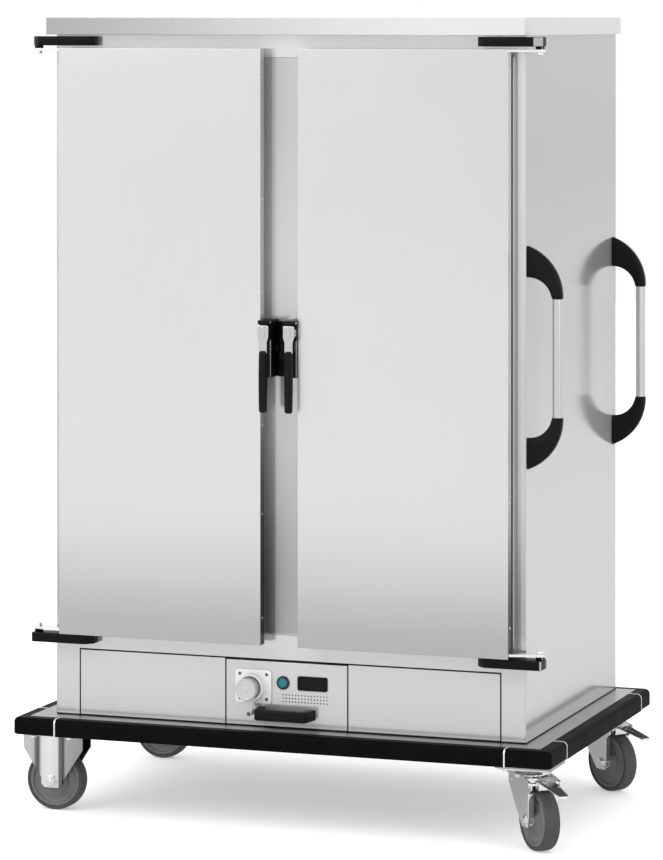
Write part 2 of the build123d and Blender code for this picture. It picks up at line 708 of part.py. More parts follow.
def door_pieces():
    """Outer skin, inner pan, foam, gasket and hinge arms of the right door."""
    inner_y = DOOR_Y + SKIN_DEPTH
    pan_y = inner_y + INNER_DEPTH
    skin = pan(DOOR_IN, DOOR_OUTER, DOOR_Y, inner_y, DOOR_BOTTOM, DOOR_TOP, SHEET)
    x0, x1 = DOOR_IN + INNER_INSET, DOOR_OUTER - INNER_INSET
    z0, z1 = DOOR_BOTTOM + INNER_INSET, DOOR_TOP - INNER_INSET
    inner = pan(x0, x1, pan_y, inner_y, z0, z1, SHEET)
    rim = block(DOOR_IN, DOOR_OUTER, inner_y, inner_y + SHEET, DOOR_BOTTOM, DOOR_TOP)
    rim -= block(x0 + SHEET, x1 - SHEET, inner_y, inner_y + SHEET, z0 + SHEET, z1 - SHEET)
    inner += rim
    clear = SHEET + CORE_CLEAR
    core = block(
        DOOR_IN + INNER_INSET + clear, DOOR_OUTER - INNER_INSET - clear, DOOR_Y + SHEET, pan_y - SHEET,
        DOOR_BOTTOM + INNER_INSET + clear, DOOR_TOP - INNER_INSET - clear,
    )
    arms = [hinge_arm(TOP_ARM_Z), hinge_arm(LOW_ARM_Z)]
    for z in (TOP_ARM_Z, LOW_ARM_Z):
        room = hinge_arm(z, STACK_CLEAR)
        if z == TOP_ARM_Z:
            room += Pos(0, 0, ARM_SHEET) * room
        skin -= room
        inner -= room
        core -= room
    gasket = block(
        DOOR_IN + GASKET_INSET, DOOR_OUTER - GASKET_INSET, pan_y, FRONT - GASKET_CLEAR,
        DOOR_BOTTOM + GASKET_INSET, DOOR_TOP - GASKET_INSET,
    )
    inset = GASKET_INSET + GASKET_WIDTH
    gasket -= block(
        DOOR_IN + inset, DOOR_OUTER - inset, pan_y, FRONT,
        DOOR_BOTTOM + inset, DOOR_TOP - inset,
    )
    return skin, inner, core, gasket, arms


def latch_pieces():
    """Housing, lever, grip and bolt of the right door's latch."""
    back = FRONT - LATCH_BACK
    housing = block(LATCH_IN, DOOR_IN, LATCH_Y, back, LATCH_BOTTOM, LATCH_TOP)
    cap_front = DOOR_Y - LATCH_CAP_PROUD
    cap = block(LATCH_IN, DOOR_IN, cap_front, back, LATCH_TOP, LATCH_TOP + LATCH_CAP)
    housing += fillet(along(cap, Axis.Z).filter_by_position(Axis.Y, cap_front - 1, cap_front + 1), 4)
    bolt_y1 = FRONT - BOLT_BACK
    bolt_y0 = bolt_y1 - BOLT_DEPTH
    z0, z1 = BOLT_Z - BOLT_HEIGHT / 2, BOLT_Z + BOLT_HEIGHT / 2
    gap = SLIDE_CLEAR
    housing -= block(LATCH_IN, DOOR_IN - SHEET, bolt_y0 - gap, bolt_y1 + gap, z0 - gap, z1 + gap)
    pivot_z, half_lug = LEVER_PIVOT_Z, LEVER_LUG_WIDTH / 2
    lug_z0, lug_z1 = pivot_z - LEVER_LUG_R, pivot_z + LEVER_LUG_R
    housing += block(LATCH_MID - half_lug, LATCH_MID + half_lug, LEVER_PIVOT_Y, LATCH_Y, lug_z0, lug_z1)
    housing += rod((LATCH_MID - half_lug, LEVER_PIVOT_Y, pivot_z), (1, 0, 0), LEVER_LUG_R, LEVER_LUG_WIDTH)
    x0, x1 = LATCH_MID - LEVER_WIDTH / 2, LATCH_MID + LEVER_WIDTH / 2
    housing += rod((x0, LEVER_PIVOT_Y, pivot_z), (1, 0, 0), LEVER_PIN_R, LEVER_WIDTH)
    bolt = block(LATCH_IN - BOLT_THROW, LATCH_IN - BOLT_THROW + BOLT_LENGTH, bolt_y0, bolt_y1, z0, z1)
    return housing, latch_lever(x0, x1), latch_grip(), bolt


def latch_lever(x0, x1):
    """A pressed plate, wide at its pivot, with a flange to the pin each side and a tongue in the grip."""
    front = LEVER_Y
    flange_low, flange_high = LEVER_PIVOT_Z - LEVER_FLANGE_R, LEVER_PIVOT_Z + LEVER_FLANGE_R
    neck, tongue, foot = LEVER_NECK / 2, LEVER_TONGUE / 2, GRIP_BOTTOM + GRIP_DEPTH
    half_outline = [
        (LEVER_WIDTH / 2, LEVER_TOP), (LEVER_WIDTH / 2, flange_low), (neck, flange_low - LEVER_TAPER),
        (neck, GRIP_TOP), (tongue, GRIP_TOP), (tongue, foot),
    ]
    outline = [(LATCH_MID + x, front, z) for x, z in half_outline]
    outline += [(LATCH_MID - x, front, z) for x, z in reversed(half_outline)]
    lever = prism(outline, (0, 1, 0), LEVER_SHEET)
    for start in (x0, x1 - LEVER_SHEET):
        lever += block(start, start + LEVER_SHEET, front, LEVER_PIVOT_Y, flange_low, flange_high)
        lever += rod((start, LEVER_PIVOT_Y, LEVER_PIVOT_Z), (1, 0, 0), LEVER_FLANGE_R, LEVER_SHEET)
    return lever - rod((x0, LEVER_PIVOT_Y, LEVER_PIVOT_Z), (1, 0, 0), LEVER_PIN_R + PIN_CLEAR, x1 - x0)


def latch_grip():
    """The moulded grip round the lever's tongue."""
    half, tongue = GRIP_WIDTH / 2, LEVER_TONGUE / 2
    y0 = LEVER_Y + (LEVER_SHEET - GRIP_DEPTH) / 2
    grip = block(LATCH_MID - half, LATCH_MID + half, y0, y0 + GRIP_DEPTH, GRIP_BOTTOM, GRIP_TOP)
    grip = fillet(along(grip, Axis.Z), GRIP_ROUND)
    ends = grip.faces().sort_by(Axis.Z)
    grip = fillet([*ends[0].edges(), *ends[-1].edges()], GRIP_ROUND / 2)
    slot_y0, slot_y1 = LEVER_Y, LEVER_Y + LEVER_SHEET
    x0, x1 = LATCH_MID - tongue, LATCH_MID + tongue
    return grip - block(x0, x1, slot_y0, slot_y1, GRIP_BOTTOM + GRIP_DEPTH, GRIP_TOP)


def latch_keeper():
    """The base on the middle post and the rib on it that both bolts slide in front of."""
    z0, z1 = BOLT_Z - KEEPER_HEIGHT / 2, BOLT_Z + KEEPER_HEIGHT / 2
    base = block(-KEEPER_WIDTH / 2, KEEPER_WIDTH / 2, FRONT - KEEPER_BASE, FRONT, z0, z1)
    rib = block(-KEEPER_RIB / 2, KEEPER_RIB / 2, FRONT - KEEPER_PROUD, FRONT - KEEPER_BASE, z0, z1)
    return [base, rib]


# Push handles

def handle_places():
    """The depth and height of each push handle's middle."""
    return ((FRONT + HANDLE_FRONT_INSET, HANDLE_Z), (BACK - HANDLE_BACK_INSET, HANDLE_Z - HANDLE_BACK_DROP))


def handle_bracket():
    """The upper horn of a push handle about height 0: a crescent from a foot on the side to the tube."""
    top, tube_end = HANDLE_LENGTH / 2, TUBE_LENGTH / 2
    out = SIDE + HANDLE_OUT
    near = out - BRACKET_NECK
    foot = top - BRACKET_FOOT
    start = -HANDLE_THICK / 2
    drop = top - tube_end
    outer_bend = (SIDE + HANDLE_OUT * BRACKET_BEND, start, top - drop * OUTER_BEND_DROP)
    inner_rise = (foot - tube_end) * INNER_BEND_RISE
    inner_bend = (SIDE + (near - SIDE) * BRACKET_BEND, start, tube_end + inner_rise)
    outer = ThreePointArc((SIDE, start, top), outer_bend, (out, start, tube_end))
    end = Line((out, start, tube_end), (near, start, tube_end))
    inner = ThreePointArc((near, start, tube_end), inner_bend, (SIDE, start, foot))
    back = Line((SIDE, start, foot), (SIDE, start, top))
    horn = extrude(make_face([outer, end, inner, back]), HANDLE_THICK, dir=(0, 1, 0))
    rims = [e for e in horn.edges() if e.center().X > SIDE + 1 and e.center().Z > tube_end + 1]
    rims = [e for e in rims if abs(e.center().Y) > HANDLE_THICK / 2 - 0.01]
    horn = fillet(rims, BRACKET_ROUND)
    socket = (out - BRACKET_NECK / 2, 0, tube_end)
    return horn - rod(socket, (0, 0, 1), TUBE_R + TUBE_CLEAR, TUBE_SOCKET)


def handle_pieces():
    """All four brackets and both tubes."""
    brackets, tubes = [], []
    upper = handle_bracket()
    lower = mirror(upper, Plane.XY)
    x = SIDE + HANDLE_OUT - BRACKET_NECK / 2
    half = TUBE_LENGTH / 2 + TUBE_SOCKET
    tube = rod((x, 0, -half), (0, 0, 1), TUBE_R, 2 * half)
    tube -= rod((x, 0, -half), (0, 0, 1), TUBE_R - SHEET, 2 * half)
    for y, z in handle_places():
        brackets += [Pos(0, y, z) * upper, Pos(0, y, z) * lower]
        tubes.append(Pos(0, y, z) * tube)
    return brackets, tubes


# Castors, built at the origin with the wheel rolling along +X, then placed

def castor_places():
    """Every castor's name, place and turn in plan. Fixed ones have no trail."""
    return [
        ("front_left", -FIXED_X, FIXED_FRONT_Y, 0.0, 0.0),
        ("rear_left", -FIXED_X, REAR_CASTOR_Y, 0.0, 0.0),
        ("front_right", FRONT_SWIVEL_X, FRONT_SWIVEL_Y, FRONT_CASTOR_DEG, TRAIL),
        ("rear_right", REAR_SWIVEL_X, REAR_CASTOR_Y, REAR_CASTOR_DEG, TRAIL),
    ]


def ring(radius_out, radius_in, width):
    """A flat ring about the Y axis, centred on it."""
    start = (0, -width / 2, 0)
    return rod(start, (0, 1, 0), radius_out, width) - rod(start, (0, 1, 0), radius_in, width)


def tyre():
    """The rubber tread with rounded shoulders."""
    inner = WHEEL_R - TYRE_THICK
    solid = rod((0, -TYRE_WIDTH / 2, 0), (0, 1, 0), WHEEL_R, TYRE_WIDTH)
    solid = fillet(solid.edges().filter_by(GeomType.CIRCLE), TYRE_ROUND)
    return solid - rod((0, -TYRE_WIDTH / 2, 0), (0, 1, 0), inner, TYRE_WIDTH)


def hub():
    """The moulded wheel centre: a rim proud of a shallow dish, which flares up to the boss."""
    outer = WHEEL_R - TYRE_THICK
    boss, rim, web = HUB_WIDTH / 2, HUB_RIM_WIDTH / 2, HUB_WEB / 2
    flare = HUB_BOSS_R + HUB_BOSS_FLARE
    bore = AXLE_R + AXLE_CLEAR
    inner_rim = outer - HUB_RIM
    side = [
        (bore, boss), (HUB_BOSS_R, boss), (flare, web), (inner_rim, web), (inner_rim, rim), (outer, rim),
    ]
    profile = [(r, y, 0) for r, y in side] + [(r, -y, 0) for r, y in reversed(side)]
    return revolve(make_face(Polyline(*profile, close=True)), Axis.Y)


def axle(half, inside):
    """The wheel bolt with a head beyond each leg and a collar between each leg and the hub."""
    bolt = rod((0, -half, 0), (0, 1, 0), AXLE_R, 2 * half)
    collar = HUB_WIDTH / 2 + COLLAR_CLEAR
    for side in (-1, 1):
        hexagon = Plane(origin=(0, side * half, 0), z_dir=(0, side, 0)) * RegularPolygon(AXLE_HEAD_R, 6)
        bolt += extrude(hexagon, AXLE_HEAD)
        bolt += rod((0, side * collar, 0), (0, side, 0), AXLE_COLLAR_R, inside - collar)
    return bolt


def mounting_plate():
    """A castor's top plate with four bolt holes."""
    plate = block(-PLATE_X / 2, PLATE_X / 2, -PLATE_Y / 2, PLATE_Y / 2, PLATE_LOW, PLATE_TOP)
    for i in (-1, 1):
        for j in (-1, 1):
            point = (i * BOLT_PITCH_X / 2, j * BOLT_PITCH_Y / 2, PLATE_LOW)
            plate -= rod(point, (0, 0, 1), M8_R + M8_CLEAR, PLATE_THICK)
    return plate


def fixed_fork():
    """Top plate and two tapering legs, each pressed out into a channel down its middle."""
    half, channel, sheet = FIXED_LEG_WIDTH / 2, FIXED_CHANNEL / 2, FORK_SHEET
    low, square = WHEEL_R - FORK_FOOT, PLATE_LOW - FIXED_LEG_SQUARE
    points = [
        (-half, PLATE_LOW), (-half, square), (-channel, WHEEL_R), (-channel, low), (channel, low),
        (channel, WHEEL_R), (half, square), (half, PLATE_LOW),
    ]
    y0 = FORK_GAP / 2
    y1 = fixed_leg_out()
    leg = prism([(x, y0, z) for x, z in points], (0, 1, 0), sheet)
    bulge = block(-channel, channel, y0, y1, low, PLATE_LOW)
    bulge = chamfer(along(bulge, Axis.Y).sort_by(Axis.Z)[:2], FORK_FOOT / 2)
    leg -= block(-channel, channel, y0, y0 + sheet, low, PLATE_LOW)
    leg += bulge - block(-channel + sheet, channel - sheet, y0, y1 - sheet, low, PLATE_LOW)
    leg -= rod((0, y0, WHEEL_R), (0, 1, 0), AXLE_R, y1 - y0)
    return mounting_plate() + leg + mirror(leg, Plane.XZ)


def fixed_leg_out():
    """How far the outside of a fixed leg's channel is from the wheel's middle."""
    return FORK_GAP / 2 + FIXED_CHANNEL_PROUD + FORK_SHEET


def swivel_leg_out():
    """How far the outside of a swivel leg is from the wheel's middle."""
    return FORK_GAP / 2 + SWIVEL_FLANGE


def swivel_plate():
    """Top plate, bearing race and king pin of a swivel castor."""
    plate = mounting_plate()
    plate += rod((0, 0, PLATE_LOW - RACE_HEIGHT), (0, 0, 1), RACE_R, RACE_HEIGHT)
    low = CROWN_TOP - CROWN_THICK - RACE_CLEAR
    plate += rod((0, 0, low), (0, 0, 1), KINGPIN_R, PLATE_LOW - low)
    return plate + rod((0, 0, low - KINGPIN_HEAD), (0, 0, 1), KINGPIN_HEAD_R, KINGPIN_HEAD)


def swivel_fork():
    """Crown and two trailing legs with turned-in front flanges and ears for the brake pedal."""
    crown_low = CROWN_TOP - CROWN_THICK
    y1 = swivel_leg_out()
    y0 = y1 - FORK_SHEET
    ear = PEDAL_PIN_R + PEDAL_EAR
    front, flange_low = TRAIL + SWIVEL_FRONT, WHEEL_R + FORK_FOOT / 2
    flange_high = PEDAL_PIVOT_Z - 2 * ear
    fork = rod((0, 0, crown_low), (0, 0, 1), CROWN_R, CROWN_THICK)
    fork += block(-SWIVEL_LEG_BACK, SWIVEL_LEG_BACK, -y1, y1, crown_low, CROWN_TOP)
    points = [
        (-SWIVEL_LEG_BACK, CROWN_TOP), (-SWIVEL_LEG_BACK, crown_low - FORK_FOOT),
        (TRAIL - FORK_FOOT, WHEEL_R - FORK_FOOT), (TRAIL + FORK_FOOT, WHEEL_R - FORK_FOOT),
        (front, flange_low), (front, flange_high), (PEDAL_PIVOT_U + ear, PEDAL_PIVOT_Z - ear),
        (PEDAL_PIVOT_U + ear, PEDAL_PIVOT_Z + ear / 2), (SWIVEL_LEG_BACK, CROWN_TOP),
    ]
    leg = prism([(x, y0, z) for x, z in points], (0, 1, 0), FORK_SHEET)
    leg += block(front - FORK_SHEET, front, FORK_GAP / 2, y1, flange_low, flange_high)
    leg -= rod((TRAIL, y0, WHEEL_R), (0, 1, 0), AXLE_R, FORK_SHEET)
    leg -= rod((PEDAL_PIVOT_U, y0, PEDAL_PIVOT_Z), (0, 1, 0), PEDAL_PIN_R, FORK_SHEET)
    fork += leg + mirror(leg, Plane.XZ)
    fork -= rod((0, 0, crown_low), (0, 0, 1), KINGPIN_R + AXLE_CLEAR, CROWN_THICK)
    pin = rod((PEDAL_PIVOT_U, -y1, PEDAL_PIVOT_Z), (0, 1, 0), PEDAL_PIN_R, 2 * y1)
    return fork, pin


def brake_pedal():
    """The pressed pedal and its brake shoe, turning on a pin between the fork ears."""
    u, z = PEDAL_PIVOT_U, PEDAL_PIVOT_Z
    top = z + PEDAL_PIN_R + PEDAL_SHEET
    tip_z = z - PEDAL_DROP
    half = PEDAL_WIDTH / 2
    heel, under, shoe = u - PEDAL_HEEL, top - PEDAL_SHEET - PEDAL_HOLLOW, z - SHOE_DROP
    points = [
        (heel, -half, top), (u + PEDAL_FLAT, -half, top), (PEDAL_REACH, -half, tip_z + PEDAL_SHEET),
        (PEDAL_REACH, -half, tip_z), (u + PEDAL_FLAT - PEDAL_HOLLOW, -half, under),
        (u + PEDAL_HEEL, -half, shoe), (heel + SHOE_BACK, -half, shoe + SHOE_STEP), (heel, -half, z),
    ]
    pedal = prism(points, (0, 1, 0), PEDAL_WIDTH)
    tip, start = PEDAL_TIP_WIDTH / 2, u + 3 * PEDAL_PIN_R
    plan = [
        (u - half, -half, 0), (start, -half, 0), (PEDAL_REACH, -tip, 0), (PEDAL_REACH, tip, 0),
        (start, half, 0), (u - half, half, 0),
    ]
    pedal &= prism(plan, (0, 0, 1), 2 * z)
    return pedal - rod((u, -half, z), (0, 1, 0), PEDAL_PIN_R + PIN_CLEAR, PEDAL_WIDTH)


# Heating drawer

def display_block(y0, y1):
    """A block the size of the display inside its rim, between two depths."""
    w, h = DISPLAY_WIDTH / 2 - DISPLAY_RIM, DISPLAY_HEIGHT / 2 - DISPLAY_RIM
    return block(DISPLAY_X - w, DISPLAY_X + w, y0, y1, DISPLAY_Z - h, DISPLAY_Z + h)


def drawer_fascia():
    """The drawer front with its cut-outs and vent holes."""
    half = DRAWER_WIDTH / 2
    front = pan(-half, half, FRONT, FRONT + PANEL_FOLD, DRAWER_LOW, DRAWER_HIGH - FASCIA_DROP, SHEET)
    front -= rod((INLET_X, FRONT, INLET_Z), (0, 1, 0), SHROUD_R + SLIDE_CLEAR, SHEET)
    front -= rod((BUTTON_X, FRONT, BUTTON_Z), (0, 1, 0), BUTTON_R + SHEET, SHEET)
    front -= display_block(FRONT, FRONT + SHEET)
    for i in range(VENT_COLUMNS):
        for j in range(VENT_ROWS):
            x = VENT_X + (i - (VENT_COLUMNS - 1) / 2) * VENT_PITCH_X
            z = VENT_Z + (j - (VENT_ROWS - 1) / 2) * VENT_PITCH_Z
            front -= rod((x, FRONT, z), (0, 1, 0), VENT_R, SHEET)
    return front


def drawer_chassis():
    """The drawer's tray with its walls and slide runners."""
    y0 = FRONT + PANEL_FOLD
    inside, top = CHASSIS_HALF - SHEET, CHASSIS_LOW + CHASSIS_WALL
    tray = block(-CHASSIS_HALF, CHASSIS_HALF, y0, CHASSIS_BACK, CHASSIS_LOW, top)
    tray -= block(-inside, inside, y0 + SHEET, CHASSIS_BACK - SHEET, CHASSIS_LOW + SHEET, top)
    tray -= block(-inside, inside, y0, y0 + SHEET, RAIL_Z - CHASSIS_FRONT_DROP, top)
    half = RUNNER_STRIP / 2
    for side in (-1, 1):
        x0, x1 = side * CHASSIS_HALF, side * (CHASSIS_HALF + RUNNER_OUT)
        tray += block(x0, x1, y0, CHASSIS_BACK, RAIL_Z - half, RAIL_Z + half)
        tray += block(side * inside, x0, FRONT + SHEET, y0, CHASSIS_LOW, RAIL_Z)
    for x in (-ELEMENT_HALF, ELEMENT_HALF):
        tray -= rod((x, CHASSIS_BACK - SHEET, ELEMENT_Z), (0, 1, 0), ELEMENT_R, SHEET)
    return tray


def drawer_rail():
    """The right divider of the drawer bay with its C-shaped rail."""
    y0 = FRAME_BACK
    y1 = y0 + DIVIDER_LENGTH
    rail = block(DIVIDER_X, DIVIDER_X + SHEET, y0, y1, BODY_BOTTOM, OPENING_BOTTOM - SHEET - FLOOR_FOAM)
    half = RUNNER_STRIP / 2 + SLIDE_CLEAR
    inner = CHASSIS_HALF + SHEET
    for z in (RAIL_Z + half, RAIL_Z - half - RAIL_LIP):
        rail += block(inner, DIVIDER_X, y0, y1, z, z + RAIL_LIP)
    return rail


def bow_handle():
    """The black pull bow on the drawer front."""
    half = BOW_LENGTH / 2
    y1, y0 = FRONT, FRONT - BOW_OUT
    z = BOW_BOTTOM
    points = [
        (-half, y1, z), (-half + BOW_LEAN, y0, z), (half - BOW_LEAN, y0, z), (half, y1, z),
        (half - BOW_POST, y1, z), (half - BOW_POST - BOW_LEAN / 2, y0 + BOW_BAR, z),
        (-half + BOW_POST + BOW_LEAN / 2, y0 + BOW_BAR, z), (-half + BOW_POST, y1, z),
    ]
    bow = prism(points, (0, 0, 1), BOW_HEIGHT)
    corners = along(bow, Axis.Z).filter_by_position(Axis.Y, y0 - 1, y0 + 1)
    bow = fillet(corners, BOW_CORNER)
    rim = [e for e in bow.edges() if e.center().Y < y0 + BOW_BAR / 2]
    rim = [e for e in rim if abs(e.center().Z - z - BOW_HEIGHT / 2) > BOW_HEIGHT / 4]
    return fillet(rim, BOW_ROUND)


def inlet_pieces():
    """Inlet housing, its contact pins and the post that carries the cap."""
    x, z = INLET_X, INLET_Z
    w, h = FLANGE_WIDTH / 2, FLANGE_HEIGHT / 2
    flange = block(x - w, x + w, FRONT - FLANGE_THICK, FRONT, z - h, z + h)
    flange = fillet(along(flange, Axis.Y), 5)
    body = rod((x, SHROUD_Y, z), (0, 1, 0), SHROUD_R, SHROUD_OUT + SHROUD_IN)
    floor = FRONT + SHROUD_IN - 2 * CAP_WALL
    housing = flange + body - rod((x, SHROUD_Y, z), (0, 1, 0), SHROUD_BORE_R, floor - SHROUD_Y)
    for i in (-1, 1):
        for j in (-1, 1):
            head = (x + i * FLANGE_SCREW_PITCH / 2, FRONT - FLANGE_THICK, z + j * FLANGE_SCREW_PITCH / 2)
            housing += rod(head, (0, -1, 0), FLANGE_SCREW_R, 1.2)
    pins = []
    pin_y = SHROUD_Y + INLET_PIN_OUT
    for turn in (90, 210, 330):
        dx, dz = INLET_PIN_CIRCLE * cos(radians(turn)), INLET_PIN_CIRCLE * sin(radians(turn))
        pins.append(rod((x + dx, pin_y, z + dz), (0, 1, 0), INLET_PIN_R, floor - pin_y))
    post_y = SHROUD_Y - CAP_CLEAR
    foot = (CAP_PIVOT_X, FRONT, CAP_PIVOT_Z)
    post = rod(foot, (0, -1, 0), CAP_POST_R, FRONT - post_y - SLIDE_CLEAR)
    post += rod(foot, (0, -1, 0), CAP_SCREW_R, FRONT - post_y + CAP_ARM_THICK + 1)
    head_y = post_y - CAP_ARM_THICK - SLIDE_CLEAR
    post += rod((CAP_PIVOT_X, head_y, CAP_PIVOT_Z), (0, -1, 0), CAP_POST_R - 1, 2)
    return [housing, *pins, post]


def inlet_cap():
    """The cover of the inlet with its tapering swing arm."""
    back = SHROUD_Y - CAP_CLEAR
    front = FRONT - CAP_OUT
    cap = rod((INLET_X, back, INLET_Z), (0, -1, 0), CAP_R, back - front)
    cap = fillet(cap.edges().filter_by(GeomType.CIRCLE).sort_by(Axis.Y)[0], 2.5)
    cap -= rod((INLET_X, back, INLET_Z), (0, -1, 0), CAP_R - CAP_WALL, back - front - CAP_WALL)
    half = CAP_ARM_TOP / 2
    points = [
        (INLET_X - half, back, INLET_Z - CAP_R * 0.75), (INLET_X + half, back, INLET_Z - CAP_R * 0.75),
        (CAP_PIVOT_X + CAP_POST_R, back, CAP_PIVOT_Z), (CAP_PIVOT_X - CAP_POST_R, back, CAP_PIVOT_Z),
    ]
    arm = prism(points, (0, -1, 0), CAP_ARM_THICK)
    arm += rod((CAP_PIVOT_X, back, CAP_PIVOT_Z), (0, -1, 0), CAP_POST_R, CAP_ARM_THICK)
    arm -= rod((CAP_PIVOT_X, back, CAP_PIVOT_Z), (0, -1, 0), CAP_SCREW_R + PIN_CLEAR, CAP_ARM_THICK)
    arm -= rod((INLET_X, back, INLET_Z), (0, -1, 0), CAP_R - CAP_WALL, CAP_ARM_THICK)
    return cap + arm


def button_pieces():
    """The push button's bezel and its moving lens."""
    x, z = BUTTON_X, BUTTON_Z
    bezel = rod((x, FRONT, z), (0, -1, 0), BEZEL_R, BEZEL_PROUD)
    bezel = fillet(bezel.edges().filter_by(GeomType.CIRCLE).sort_by(Axis.Y)[0], 1.5)
    bezel += rod((x, FRONT, z), (0, 1, 0), BUTTON_R + SHEET, BUTTON_BODY)
    gap = BUTTON_CLEAR
    bezel -= rod((x, FRONT - BEZEL_PROUD, z), (0, 1, 0), BUTTON_R + gap, BEZEL_PROUD + BUTTON_BODY - SHEET)
    length = BUTTON_PROUD + BUTTON_BODY / 2
    button = rod((x, FRONT - BUTTON_PROUD, z), (0, 1, 0), BUTTON_R, length)
    button = fillet(button.edges().filter_by(GeomType.CIRCLE).sort_by(Axis.Y)[0], 2.2)
    return bezel, button


def display_window():
    """The display: a rim on the panel and a slightly sunk window."""
    w, h = DISPLAY_WIDTH / 2, DISPLAY_HEIGHT / 2
    front = FRONT - DISPLAY_PROUD
    shape = block(DISPLAY_X - w, DISPLAY_X + w, front, FRONT, DISPLAY_Z - h, DISPLAY_Z + h)
    shape = fillet(along(shape, Axis.Y), DISPLAY_ROUND)
    shape += display_block(FRONT, FRONT + PANEL_FOLD / 2)
    return shape - display_block(front, front + 1)


def control_box():
    """The controller behind the display."""
    w, h = DISPLAY_WIDTH / 2 - DISPLAY_RIM, DISPLAY_HEIGHT / 2
    y0 = FRONT + PANEL_FOLD / 2
    return block(DISPLAY_X - w, DISPLAY_X + w, y0, y0 + CONTROL_DEPTH, DISPLAY_Z - h, DISPLAY_Z + h)


def fan_pieces():
    """The fan's motor on the drawer floor, and its bladed wheel."""
    floor = CHASSIS_LOW + SHEET
    motor = rod((0, FAN_Y, floor), (0, 0, 1), MOTOR_R, MOTOR_HEIGHT)
    motor = fillet(motor.edges().filter_by(GeomType.CIRCLE).sort_by(Axis.Z)[-1], 4)
    motor += block(-MOTOR_R - 8, MOTOR_R + 8, FAN_Y - 8, FAN_Y + 8, floor, floor + 3)
    low = floor + MOTOR_HEIGHT + IMPELLER_LIFT
    motor += rod((0, FAN_Y, floor), (0, 0, 1), SHAFT_R, MOTOR_HEIGHT + IMPELLER_LIFT + IMPELLER_HEIGHT)
    wheel = rod((0, FAN_Y, low), (0, 0, 1), IMPELLER_R, 2)
    wheel += rod((0, FAN_Y, low), (0, 0, 1), SHAFT_R * 3, IMPELLER_HEIGHT)
    for i in range(BLADES):
        blade = block(SHAFT_R * 2.5, IMPELLER_R - 2, -1, 1, low, low + IMPELLER_HEIGHT)
        wheel += Pos(0, FAN_Y, 0) * Rot(0, 0, 360 * i / BLADES) * blade
    wheel -= rod((0, FAN_Y, low), (0, 0, 1), SHAFT_R + SHAFT_CLEAR, IMPELLER_HEIGHT)
    return motor, wheel


def heating_element():
    """A tubular element that runs to and fro and ends through the drawer's back wall."""
    z = ELEMENT_Z
    rows = 6
    points = [(-ELEMENT_HALF, CHASSIS_BACK + 8, z)]
    for i in range(rows):
        x = -ELEMENT_HALF + i * ELEMENT_PITCH
        ends = (ELEMENT_BACK - ELEMENT_PITCH, ELEMENT_FRONT)
        first, second = ends if i % 2 == 0 else ends[::-1]
        points += [(x, first, z), (x, second, z)] if i else [(x, second, z)]
    points[-1] = (points[-1][0], CHASSIS_BACK + 8, z)
    path = FilletPolyline(*points, radius=ELEMENT_PITCH / 2 - 0.5)
    start = Plane(origin=path @ 0, z_dir=path % 0)
    return sweep(start * Circle(ELEMENT_R), path)


def castor_bolts():
    """One bolt with a head below each castor plate."""
    bolts = []
    for x, y in castor_bolt_points():
        bolt = rod((x, y, PLATE_LOW - M8_HEAD), (0, 0, 1), M8_R, M8_HEAD + PLATE_THICK + PAD_THICK)
        head = Plane(origin=(x, y, PLATE_LOW - M8_HEAD)) * RegularPolygon(M8_HEAD_R, 6)
        bolts.append(bolt + extrude(head, M8_HEAD))
    return bolts


def write_cabinet():
    """Everything that stands still."""
    rails, corners, clips = bumper_parts()
    save("base_frame", base_frame())
    save("bumper_rails", *rails)
    save("bumper_corners", *corners)
    save("side_panels", *both_sides(side_panel()))
    save("back_panel", block(-FRAME_HALF, FRAME_HALF, BACK - SHEET, BACK, BODY_BOTTOM, BODY_TOP))
    save("top_lid", top_lid())
    save("front_frame", *front_frame())
    save("inner_liners", *[side for panel in inner_liner() for side in both_sides(panel)])
    save("insulation", insulation())
    save("tray_racks", *[s for piece in tray_rack() for s in both_sides(piece)])
    save("lower_panels", *both_sides(lower_panel()))
    hinges = [*hinge_bar(BAR_TOP_Z, False), *hinge_bar(BAR_LOW_Z, True)]
    save("hinge_bars", *[s for piece in hinges for s in both_sides(piece)])
    brackets, tubes = handle_pieces()
    save("handle_brackets", *brackets)
    save("handle_tubes", *tubes)
    save("latch_keeper", *latch_keeper())
    save("drawer_rails", *both_sides(drawer_rail()))
    save("fixings", *clips, *castor_bolts())


def write_doors():
    """Both doors and their latches."""
    skin, inner, core, gasket, arms = door_pieces()
    housing, lever, grip, bolt = latch_pieces()
    singles = {
        "door_skin": skin, "door_inner": inner, "door_core": core, "door_gasket": gasket,
        "latch_housing": housing, "latch_lever": lever, "latch_grip": grip, "latch_bolt": bolt,
    }
    for name, shape in singles.items():
        save(f"{name}_right", shape)
        save(f"{name}_left", mirror(shape, Plane.YZ))
    save("hinge_arms_right", *arms)
    save("hinge_arms_left", *[mirror(arm, Plane.YZ) for arm in arms])


def write_castors():
    """The four castors."""
    mounts = []
    for name, x, y, turn, trail in castor_places():
        place = Pos(x, y, 0) * Rot(0, 0, turn)
        wheel_place = place * Pos(trail, 0, WHEEL_R)
        save(f"tyre_{name}", wheel_place * tyre())
        save(f"hub_{name}", wheel_place * hub())
        if trail:
            fork, pin = swivel_fork()
            mounts.append(Pos(x, y, 0) * swivel_plate())
            bolt = axle(swivel_leg_out(), swivel_leg_out() - FORK_SHEET)
            save(f"swivel_fork_{name}", place * fork, place * pin, wheel_place * bolt)
            save(f"brake_pedal_{name}", place * brake_pedal())
        else:
            bolt = axle(fixed_leg_out(), fixed_leg_out() - FORK_SHEET)
            mounts += [place * fixed_fork(), wheel_place * bolt]
    save("castor_mounts", *mounts)


